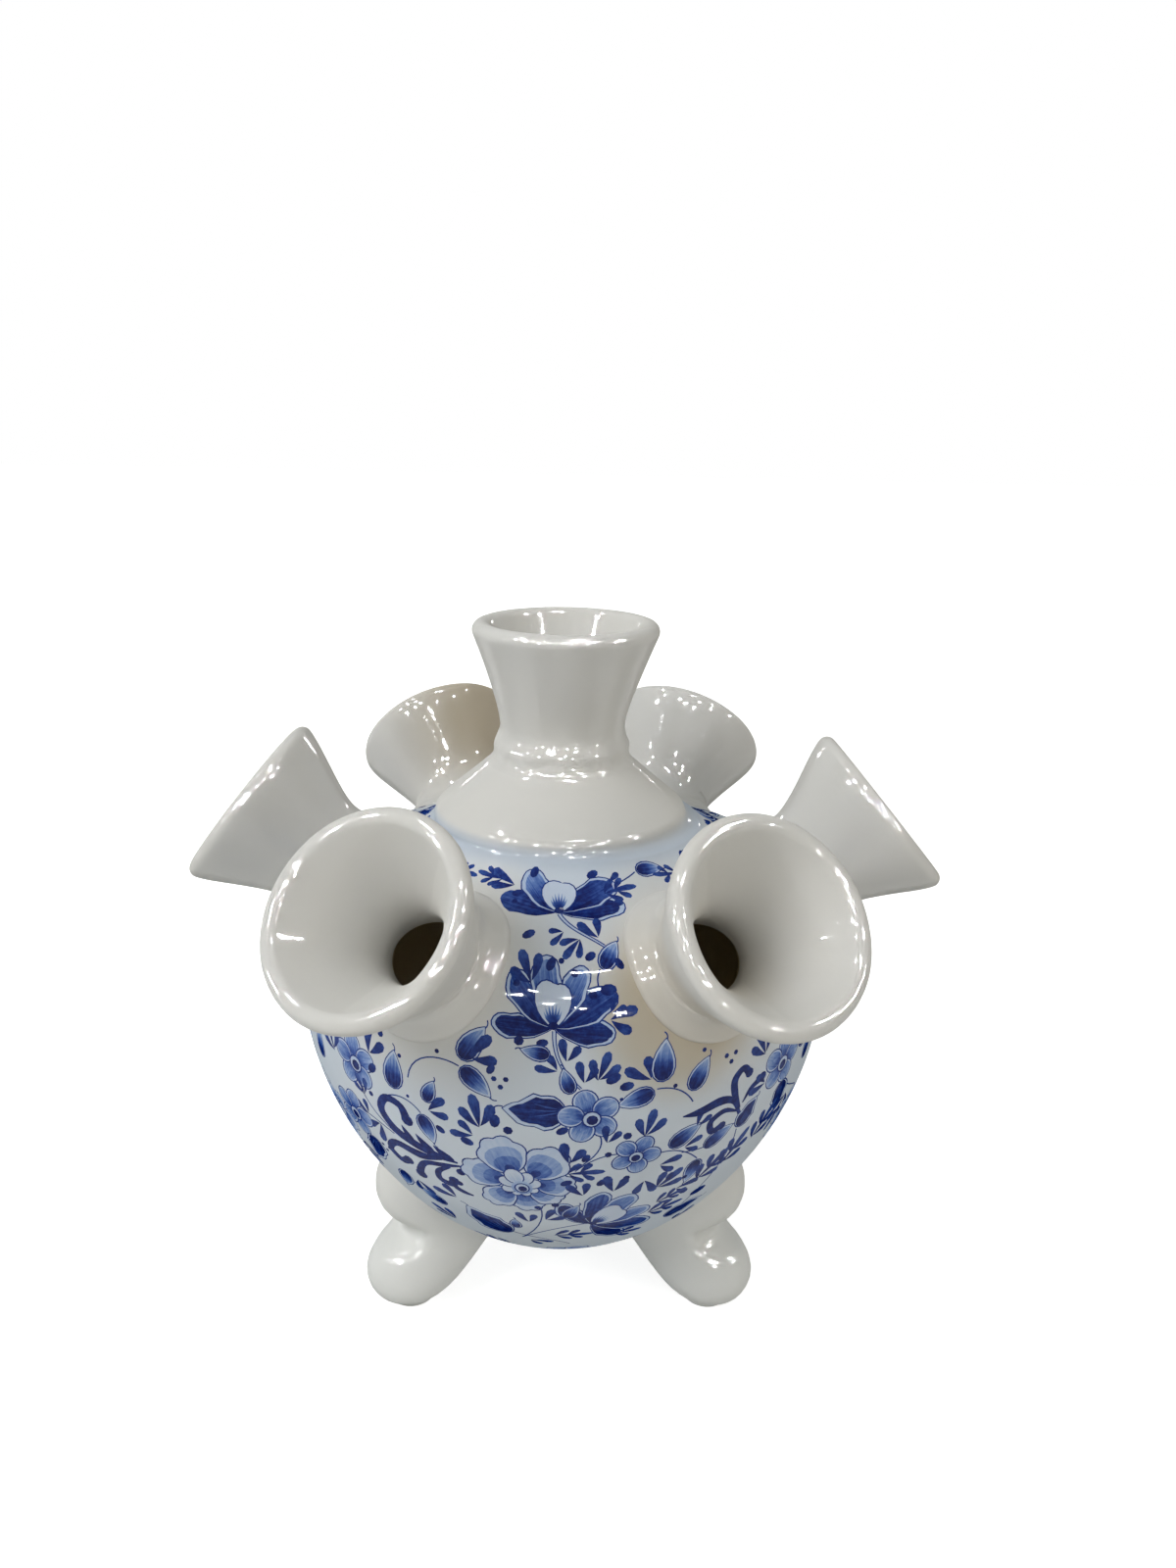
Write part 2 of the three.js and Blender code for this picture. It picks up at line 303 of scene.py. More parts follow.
def throat_ring(azimuth, lean, radius, wobble):
    """The hole's edge on the skin. It is cut by hand in soft clay, so it is a little ragged."""
    seat, axis, level_side, down = spout_axes(azimuth, lean)
    ring = []
    for i in range(throat_steps):
        angle = 2 * pi * i / throat_steps
        ragged = 1 + wobble * (sin(3 * angle + azimuth) + 0.6 * sin(7 * angle + 2 * azimuth))
        start = seat + (level_side * cos(angle) + down * sin(angle)) * radius * ragged
        ring.append(start + axis * meet_skin(start, axis))
    offsets = np.array(ring) - [0, 0, globe_centre]
    return offsets / np.linalg.norm(offsets, axis=1)[:, None]


seats = np.array([spout_axes(azimuth, lean)[0] - [0, 0, globe_centre] for _, azimuth, lean in slanted_spouts])
seats /= np.linalg.norm(seats, axis=1)[:, None]


def undercut(directions, depth):
    """Directions on the edge of a throat hole, moved away from its middle: the hole widens inwards"""
    middles = seats[np.argmax(directions @ seats.T, axis=1)]
    inward = np.sum(directions * middles, axis=1)[:, None]
    away = directions - inward * middles
    away /= np.linalg.norm(away, axis=1)[:, None]
    angle = np.arccos(np.clip(inward, -1, 1)) + hole_undercut * depth / globe_radius
    return middles * np.cos(angle) + away * np.sin(angle)


def skirt_foot(seat, axis, spoke):
    """The wet fillet round a spout, in one direction: its line on the spout, how far along that the skin is,
    the normal there, and the direction of its foot out on the globe"""
    generator = seat + spoke * side_neck_radius
    crossing = meet_skin(generator, axis)
    corner = generator + axis * crossing
    out = corner - [0, 0, globe_centre]
    out = globe_normals((out / np.linalg.norm(out))[None])[0]
    along_skin = spoke - out * (spoke @ out)
    foot = corner + along_skin / np.linalg.norm(along_skin) * fillet_width - [0, 0, globe_centre]
    return generator, crossing, out, foot / np.linalg.norm(foot)


def bearing(seat, level_side, directions):
    """Angle away from a seat's direction, and the way round it"""
    rising = np.cross(seat, level_side)
    x, y = directions @ level_side, directions @ rising
    return np.arctan2(np.hypot(x, y), directions @ seat), np.arctan2(y, x)


skirts = []
for (_, azimuth, lean), middle in zip(slanted_spouts, seats):
    seat, axis, level_side, down = spout_axes(azimuth, lean)
    turns = np.linspace(0, 2 * pi, 49)[:-1]
    feet = [skirt_foot(seat, axis, level_side * cos(a) + down * sin(a))[3] for a in turns]
    spread, round_it = bearing(middle, level_side, np.array(feet))
    order = np.argsort(round_it)
    skirts.append((middle, level_side, round_it[order], spread[order]))

# Painting: traditional cobalt flowers, leaves and sprigs, brushed on under the glaze before firing.
# Each motif is laid out in mm round a place on the globe. Each of its strokes is a closed outline on
# the chart, with its tone at its base and tip, from 0 for pale to 1 for dark, and its streakiness.
strokes = []


def place_at(azimuth, polar, turn=0.0, scale=1.0):
    """A spot on the globe: its direction, which way is right and up there, and its scale"""
    around, fall = radians(azimuth), radians(polar)
    out = np.array([sin(fall) * cos(around), sin(fall) * sin(around), -cos(fall)])
    side = np.array([-sin(around), cos(around), 0.0])
    rise = np.cross(out, side)
    rolled = radians(turn)
    right_way = side * cos(rolled) - rise * sin(rolled)
    up_way = rise * cos(rolled) + side * sin(rolled)
    reach = float(reach_at(fall))
    return {"out": out, "right": right_way, "up": up_way, "scale": scale, "reach": reach}


def on_globe(spot, points):
    points = np.asarray(points, float) * spot["scale"]
    distance = np.maximum(np.hypot(points[:, 0], points[:, 1]), 1e-9)
    angle = distance / spot["reach"]
    sideways = (points[:, :1] * spot["right"] + points[:, 1:] * spot["up"]) / distance[:, None]
    return np.cos(angle)[:, None] * spot["out"] + np.sin(angle)[:, None] * sideways


def off_globe(spot, directions):
    """The opposite of on_globe: unit directions to mm on the flat round a spot"""
    x, y = directions @ spot["right"], directions @ spot["up"]
    across = np.maximum(np.hypot(x, y), 1e-9)
    distance = np.arctan2(across, directions @ spot["out"]) * spot["reach"] / spot["scale"]
    return np.stack([x / across * distance, y / across * distance], 1)


def brush(spot, points, base, tip, half_width, tone, tip_tone=None, streak=0.0):
    strokes.append({
        "spot": spot,
        "chart": to_chart(on_globe(spot, points)),
        "base": np.array(base, float),
        "tip": np.array(tip, float),
        "half": half_width,
        "tone": (tone, tone if tip_tone is None else tip_tone, streak),
    })


def along(base, heading, distance):
    turned = radians(heading)
    return (base[0] + sin(turned) * distance, base[1] + cos(turned) * distance)


def blade_widths(kind, t):
    """How wide a brush stroke is along its length, out of 1"""
    if kind == "leaf":
        return np.minimum(1, 2.49 * t ** 0.5 * (1 - t) ** 0.9)
    if kind == "petal":
        rising = np.sin(np.pi / 2 * np.minimum(1, t / 0.66)) ** 0.8
        return rising * np.sqrt(np.maximum(0, 1 - np.maximum(0, (t - 0.62) / 0.38) ** 2.4))
    if kind == "comma":
        return np.minimum(1, t * 1.35) ** 0.85 * np.sqrt(np.maximum(0, 1 - t ** 7))
    return np.sqrt(np.maximum(0, 1 - (2 * t - 1) ** 2))


def blade(base, heading, length, width, bend=0.0, kind="leaf", steps=8, wave=0.0):
    """Outline of one brush stroke from its base, heading clockwise from up, curving by bend degrees"""
    t = (1 - np.cos(np.pi * np.arange(steps + 1) / steps)) / 2
    fine = np.linspace(0, 1, 41)
    heads = np.radians(heading + bend * (fine - 0.2))
    path = np.cumsum(np.stack([np.sin(heads), np.cos(heads)], 1), 0) * length / 41
    path = np.array(base, float) + path - path[0]
    spine = np.stack([np.interp(t, fine, path[:, i]) for i in (0, 1)], 1)
    turned = np.radians(heading + bend * (t - 0.2))
    sideways = np.stack([np.cos(turned), -np.sin(turned)], 1)
    half = (blade_widths(kind, t) * width / 2)[:, None]
    ripple = (wave * np.sin(15 * t) * np.minimum(1, t * 2))[:, None]
    left = spine + sideways * half * (1 + ripple)
    right_edge = spine - sideways * half * (1 - ripple)
    points = np.vstack([left, right_edge[-2:0:-1]])
    return points, spine[0], spine[-1]


def dab(
    spot, base, heading, length, width, bend=0.0, kind="comma",
    tone=0.92, tip_tone=None, streak=0.12, steps=5, wave=0.0,
):
    points, start, end = blade(base, heading, length, width, bend, kind, steps, wave)
    brush(spot, points, start, end, width / 2, tone, tip_tone, streak)


def petal(
    spot, base, heading, length, width, bend=0.0, kind="petal",
    pale=0.1, tones=(0.95, 0.6), margin=(0.9, 0.45), steps=9, wave=0.0,
):
    """A petal or leaf: a fine dark line, a pale margin inside it, and a wash from its base to its tip.
    margin is how far the wash stops short of the tip and of the sides, in mm."""
    fine = 0.28 / spot["scale"]
    dab(spot, base, heading, length, width, bend, kind, 0.84, None, 0.1, steps, wave)
    inner = along(base, heading, fine)
    dab(spot, inner, heading, length - 2 * fine, width - 2 * fine, bend, kind, pale, None, 0.1, steps, wave)
    wash = along(base, heading, fine * 1.1)
    short, narrow = length - fine - margin[0], width - 2 * fine - 2 * margin[1]
    if narrow > 0.3:
        dab(spot, wash, heading, short, narrow, bend, kind, tones[0], tones[1], 0.3, steps, wave)


def spot_of_paint(spot, centre, radius, tone=0.9, tip_tone=None, steps=8, squash=1.0):
    angles = 2 * np.pi * np.arange(steps) / steps
    oval = np.stack([np.cos(angles) * radius * squash, np.sin(angles) * radius], 1)
    foot, head = (centre[0], centre[1] - radius), (centre[0], centre[1] + radius)
    brush(spot, oval + centre, foot, head, radius, tone, tip_tone, 0.05)


def ribbon(spot, path, widths, tone=0.84, tip_tone=None, streak=0.0):
    """A stroke of changing width along a path"""
    path = np.asarray(path, float)
    widths = np.broadcast_to(np.asarray(widths, float), (len(path),))
    ahead = np.gradient(path, axis=0)
    ahead /= np.linalg.norm(ahead, axis=1)[:, None]
    sideways = np.stack([ahead[:, 1], -ahead[:, 0]], 1) * widths[:, None] / 2
    points = np.vstack([path + sideways, (path - sideways)[::-1]])
    brush(spot, points, path[0], path[-1], max(widths), tone, tip_tone, streak)


def tendril(spot, corners, width=0.3, steps=10):
    ribbon(spot, bezier(corners, steps), width / spot["scale"])


def stalk(spot, corners):
    """A stalk drawn as two fine lines with a pale gap"""
    path = bezier(corners, 10)
    ribbon(spot, path, np.linspace(0.85, 0.6, len(path)) / spot["scale"], 0.8)
    ribbon(spot, path, np.linspace(0.42, 0.16, len(path)) / spot["scale"], 0.12)


def duo(spot):
    """Two fat comma strokes from one point"""
    dab(spot, (0, 0), -26, 6.2, 2.5, 24, tip_tone=0.8, steps=6)
    dab(spot, (0.1, 0.2), 38, 5.0, 2.4, -28, tip_tone=0.82, steps=6)


def trio(spot):
    """Three fat comma strokes from one point, the middle one longest"""
    dab(spot, (0, 0), -42, 5.6, 2.3, 28, tip_tone=0.8, steps=6)
    dab(spot, (0, 0), 2, 7.6, 2.5, -8, tip_tone=0.74, steps=6)
    dab(spot, (0.2, 0.3), 44, 6.0, 2.4, -32, tip_tone=0.76, steps=6)


def fern(spot):
    """A leafy sprig: two pairs of comma strokes on a short curved stem, and one at its tip"""
    dab(spot, (0, 0), 0, 10.4, 2.1, 14, tip_tone=0.76, steps=6)
    for i in (0, 1):
        height = 0.4 + 3.1 * i
        lean = height * 0.04
        dab(spot, (lean, height), -50, 5.4 - 0.5 * i, 2.1, 32, tip_tone=0.8)
        dab(spot, (lean, height + 0.5), 54, 5.0 - 0.5 * i, 2.1, -32, tip_tone=0.78)


def bud_leaf(spot):
    """An outlined leaf, dark towards its stalk, with a hooked tip"""
    petal(spot, (0, 0), 0, 8.2, 4.6, 12, "leaf", tones=(0.98, 0.34), margin=(0.9, 0.22), steps=8)
    tip = along((0, 0), 5, 7.7)
    tendril(spot, [tip, along(tip, 8, 0.5), along(tip, 4, 0.9), along(tip, -20, 1.4)], 0.26, 4)


def dark_leaf(spot):
    """A large leaf filled with dark cobalt, left pale along its wavy edge"""
    tones, margin = (0.99, 0.9), (1.3, 0.5)
    petal(spot, (0, 0), 0, 11.8, 7.6, 20, "leaf", tones=tones, margin=margin, steps=12, wave=0.13)
    for lean in (-9, 4, 17):
        dab(spot, along((0, 0), lean, 1.6), lean, 4.6, 0.34, 14, "leaf", 0.72, None, 0.0, 4)
    tip = along((0, 0), 8, 11.2)
    tendril(spot, [tip, along(tip, 18, 0.6), along(tip, 12, 1.1), along(tip, -10, 1.7)], 0.28, 4)


# Petals of the two blooms: heading, length, width, bend, tones and margins, lowest ones first
open_bloom = (
    (-108, 13.0, 4.8, 18, (0.99, 0.96), (1.0, 0.26)), (86, 13.4, 5.2, -10, (0.99, 0.96), (1.3, 0.28)),
    (-72, 13.6, 6.0, 14, (0.99, 0.74), (0.9, 0.34)), (58, 14.0, 6.4, 8, (0.99, 0.76), (0.9, 0.34)),
    (-40, 12.6, 5.8, 34, (0.96, 0.46), (1.1, 0.5)), (17, 12.2, 6.2, -40, (0.96, 0.46), (0.9, 0.5)),
)
cupped_bloom = (
    (-88, 11.6, 4.8, 16, (0.99, 0.94), (0.9, 0.24)), (103, 11.6, 5.2, -20, (0.99, 0.94), (1.0, 0.26)),
    (-44, 13.2, 5.4, 26, (0.99, 0.7), (0.9, 0.34)), (66, 13.4, 5.8, -12, (0.99, 0.76), (0.9, 0.34)),
    (-10, 13.4, 6.0, 16, (0.95, 0.46), (1.0, 0.5)), (32, 12.6, 5.2, -8, (0.95, 0.46), (0.9, 0.46)),
)


def bloom(spot, petals=open_bloom, bud=(8.0, 7.2)):
    """A flower seen from the side: dark petals spread low, paler ones behind, and a feathered white bud"""
    for heading, length, width, bend, tones, margin in petals:
        petal(spot, (0.0, 0.1), heading, length, width, bend, "petal", 0.16, tones, margin, 11, 0.1)
    height, across = bud
    petal(spot, (0.1, 0.0), -15, height, across * 0.74, 24, "petal", 0.04, (0.3, 0.02), (2.0, 0.7))
    petal(spot, (0.1, 0.0), 17, height * 0.92, across * 0.72, -24, "petal", 0.04, (0.3, 0.02), (2.0, 0.7))
    dab(spot, (0.1, 0.5), 0, height * 0.84, across * 0.72, 0, "round", 0.04, None, 0.0, 7)
    for i in range(7):
        lean = (i - 3) * 13
        length = 3.9 - 0.12 * abs(i - 3) ** 2
        root = along((0, 0.5), lean, 0.4)
        dab(spot, root, lean, length, 0.46, -lean * 0.7, "leaf", 0.88, 0.3, 0.0, 4)
    dab(spot, (0, -0.2), 0, 1.5, 1.9, 0, "round", 0.97, None, 0.0, 5)


def rosette(spot):
    """An open flower with five round pale petals and a ringed dark eye set off its middle"""
    for heading in range(-14, 346, 72):
        root = along((0, 0), heading, 0.8)
        petal(spot, root, heading, 5.4, 5.0, 0, "round", 0.12, (0.58, 0.34), (0.42, 0.34))
        dab(spot, along((0, 0), heading, 1.1), heading, 2.8, 1.7, 0, "leaf", 0.74, 0.4, 0.2, 4)
    spot_of_paint(spot, (0.4, -0.5), 1.9, 0.88, steps=12)
    spot_of_paint(spot, (0.4, -0.5), 1.55, 0.12, steps=12)
    spot_of_paint(spot, (0.5, -0.7), 1.1, 0.99, steps=9)


def scalloped(spot, base, heading, length, width):
    """A peony petal: a line of small arcs round a pale wash, a darker wash at its foot and a dark spot"""
    turned = radians(heading)
    ahead = np.array([sin(turned), cos(turned)])
    aside = np.array([cos(turned), -sin(turned)])
    middle = np.array(base) + ahead * length * 0.5
    angles = 2 * np.pi * np.arange(36) / 36
    arcs = 0.9 + 0.13 * np.abs(np.sin(3.5 * angles)) * (np.cos(angles) > -0.25)
    for inset, tone in ((0.0, 0.84), (0.28, 0.06)):
        points = middle + np.outer(np.cos(angles) * (length / 2 * arcs - inset), ahead)
        points += np.outer(np.sin(angles) * (width / 2 * arcs - inset), aside)
        brush(spot, points, base, along(base, heading, length), width / 2, tone, tone + 0.04, 0.1)
    dab(spot, base, heading, length * 0.76, width * 0.74, 0, "petal", 0.4, 0.34, 0.16, 8)
    dab(spot, base, heading, length * 0.52, width * 0.52, 0, "petal", 0.68, 0.54, 0.2, 7)
    dab(spot, base, heading, length * 0.3, width * 0.2, 0, "petal", 0.95, 0.8, 0.1, 5)


def peony(spot):
    """The big double flower: scalloped petals round a small white flower with a ringed eye"""
    for heading, out, length, width in (
        (170, 1.8, 6.6, 6.6), (222, 2.0, 7.4, 6.6), (122, 1.6, 6.8, 6.2), (88, 2.2, 7.6, 6.8),
        (284, 2.2, 8.8, 7.6), (40, 2.6, 9.2, 8.6), (338, 2.6, 9.6, 9.4),
    ):
        scalloped(spot, along((0, 0), heading, out), heading, length, width)
    for heading, length, width in (
        (205, 2.7, 2.3), (160, 2.6, 2.2), (115, 2.8, 2.3), (245, 3.4, 2.6),
        (70, 3.3, 2.8), (290, 3.8, 3.0), (22, 3.6, 3.0), (335, 4.4, 3.6),
    ):
        root = along((0.1, -0.4), heading, 0.6)
        petal(spot, root, heading, length, width, 0, "round", 0.03, (0.16, 0.02), (0.7, 0.5), 7)
    spot_of_paint(spot, (0.2, -0.9), 1.9, 0.36, 0.25, steps=12)
    spot_of_paint(spot, (0.2, -1.0), 1.4, 0.86, steps=12)
    spot_of_paint(spot, (0.2, -1.0), 1.12, 0.1, steps=12)
    spot_of_paint(spot, (0.3, -1.2), 0.8, 0.99, steps=9)


def curl(spot, path, widths):
    """One arm of a flourish: a smooth line through its points, swelling and ending in a round blob"""
    path, widths = np.array(path, float), np.array(widths, float) * 1.25
    knots = np.arange(len(path))
    fine = np.linspace(0, len(path) - 1, 4 * len(path))
    before = np.vstack([2 * path[0] - path[1], path, 2 * path[-1] - path[-2]])
    smooth = []
    for u in fine:
        i = min(int(u), len(path) - 2)
        f = u - i
        a, b, c, d = before[i:i + 4]
        bow, twist = 2 * a - 5 * b + 4 * c - d, 3 * b - a - 3 * c + d
        smooth.append(0.5 * (2 * b + (c - a) * f + bow * f ** 2 + twist * f ** 3))
    ribbon(spot, smooth, np.interp(fine, knots, widths), 0.95, 0.93, 0.1)
    spot_of_paint(spot, tuple(path[-1]), widths[-1] * 0.62, 0.94, steps=9)


def flourish(spot):
    """The big leafy scroll beside the peony: a curled main arm with pointed lobes and three small curls"""
    main_arm = [
        (0, 0), (-4.4, 0.6), (-9.4, 1.6), (-14, 3.4), (-16.8, 7), (-15.2, 10.6), (-11.6, 10.4), (-10.2, 7.4),
    ]
    curl(spot, main_arm, [0.4, 1.5, 1.9, 1.8, 1.7, 1.4, 1.5, 1.9])
    dab(spot, (-0.6, 0.2), -62, 5.4, 1.8, 22, "leaf", 0.96, steps=6)
    dab(spot, (-4.6, 0.8), -54, 5.8, 1.9, 26, "leaf", 0.96, steps=6)
    dab(spot, (-9.0, 1.8), -46, 4.8, 1.6, 26, "leaf", 0.96, steps=6)
    low_arm = [(-3.4, -0.2), (-8.4, -1.2), (-14.2, -1), (-16.4, -4), (-14, -6.2), (-12, -5)]
    curl(spot, low_arm, [0.4, 1.9, 1.5, 1.4, 1.5, 1.6])
    curl(spot, [(0.4, -0.8), (-3.4, -1.8), (-7.6, -3.2), (-9.4, -6.2), (-9.6, -8)], [0.4, 1, 1.1, 1.4, 1.8])
    curl(spot, [(-2, -1.8), (-4.8, -4.2), (-5, -6.8), (-2.8, -7.6), (-1.8, -6)], [0.6, 1.1, 1.3, 1.4, 1.6])
    spot_of_paint(spot, (0.2, -2.6), 1.0, 0.95)


def hook(spot):
    """A small curled comma"""
    curl(spot, [(0, 0), (-2.2, 0.6), (-4.2, 1.8), (-4.4, 3.6), (-3.0, 4.2)], [0.5, 1.3, 1.4, 1.2, 1.3])


def crest(spot):
    """A pointed flourish with two curls rising from its end"""
    curl(spot, [(0, 0), (4.4, 1.0), (9.6, 3.2), (14.0, 2.6), (17.4, -1.4)], [0.3, 1.9, 2.1, 1.3, 0.8])
    curl(spot, [(17, 0), (13.6, 4.8), (12.4, 8.6), (14.4, 11.2), (16.8, 9.6)], [0.5, 1.7, 1.8, 1.5, 1.7])
    curl(spot, [(17.4, 1.4), (19.0, 5.0), (22.4, 7.4)], [0.4, 1.3, 1.8])
    curl(spot, [(16.8, -0.8), (12, 0.2), (8.8, -2.4), (10.2, -5.4), (12.8, -4.2)], [0.4, 1.3, 1.5, 1.5, 1.7])


def three_dots(spot):
    for centre in ((-1.1, 0), (1.1, 0.1), (0.1, -1.55)):
        spot_of_paint(spot, centre, 0.56, 0.94, steps=6)


def dot(spot):
    spot_of_paint(spot, (0, 0), 0.8, 0.95, steps=7)


def oval(spot):
    spot_of_paint(spot, (0, 0), 1.4, 0.96, 0.84, steps=9, squash=0.66)


def cupped(spot):
    bloom(spot, cupped_bloom, (9.0, 6.4))


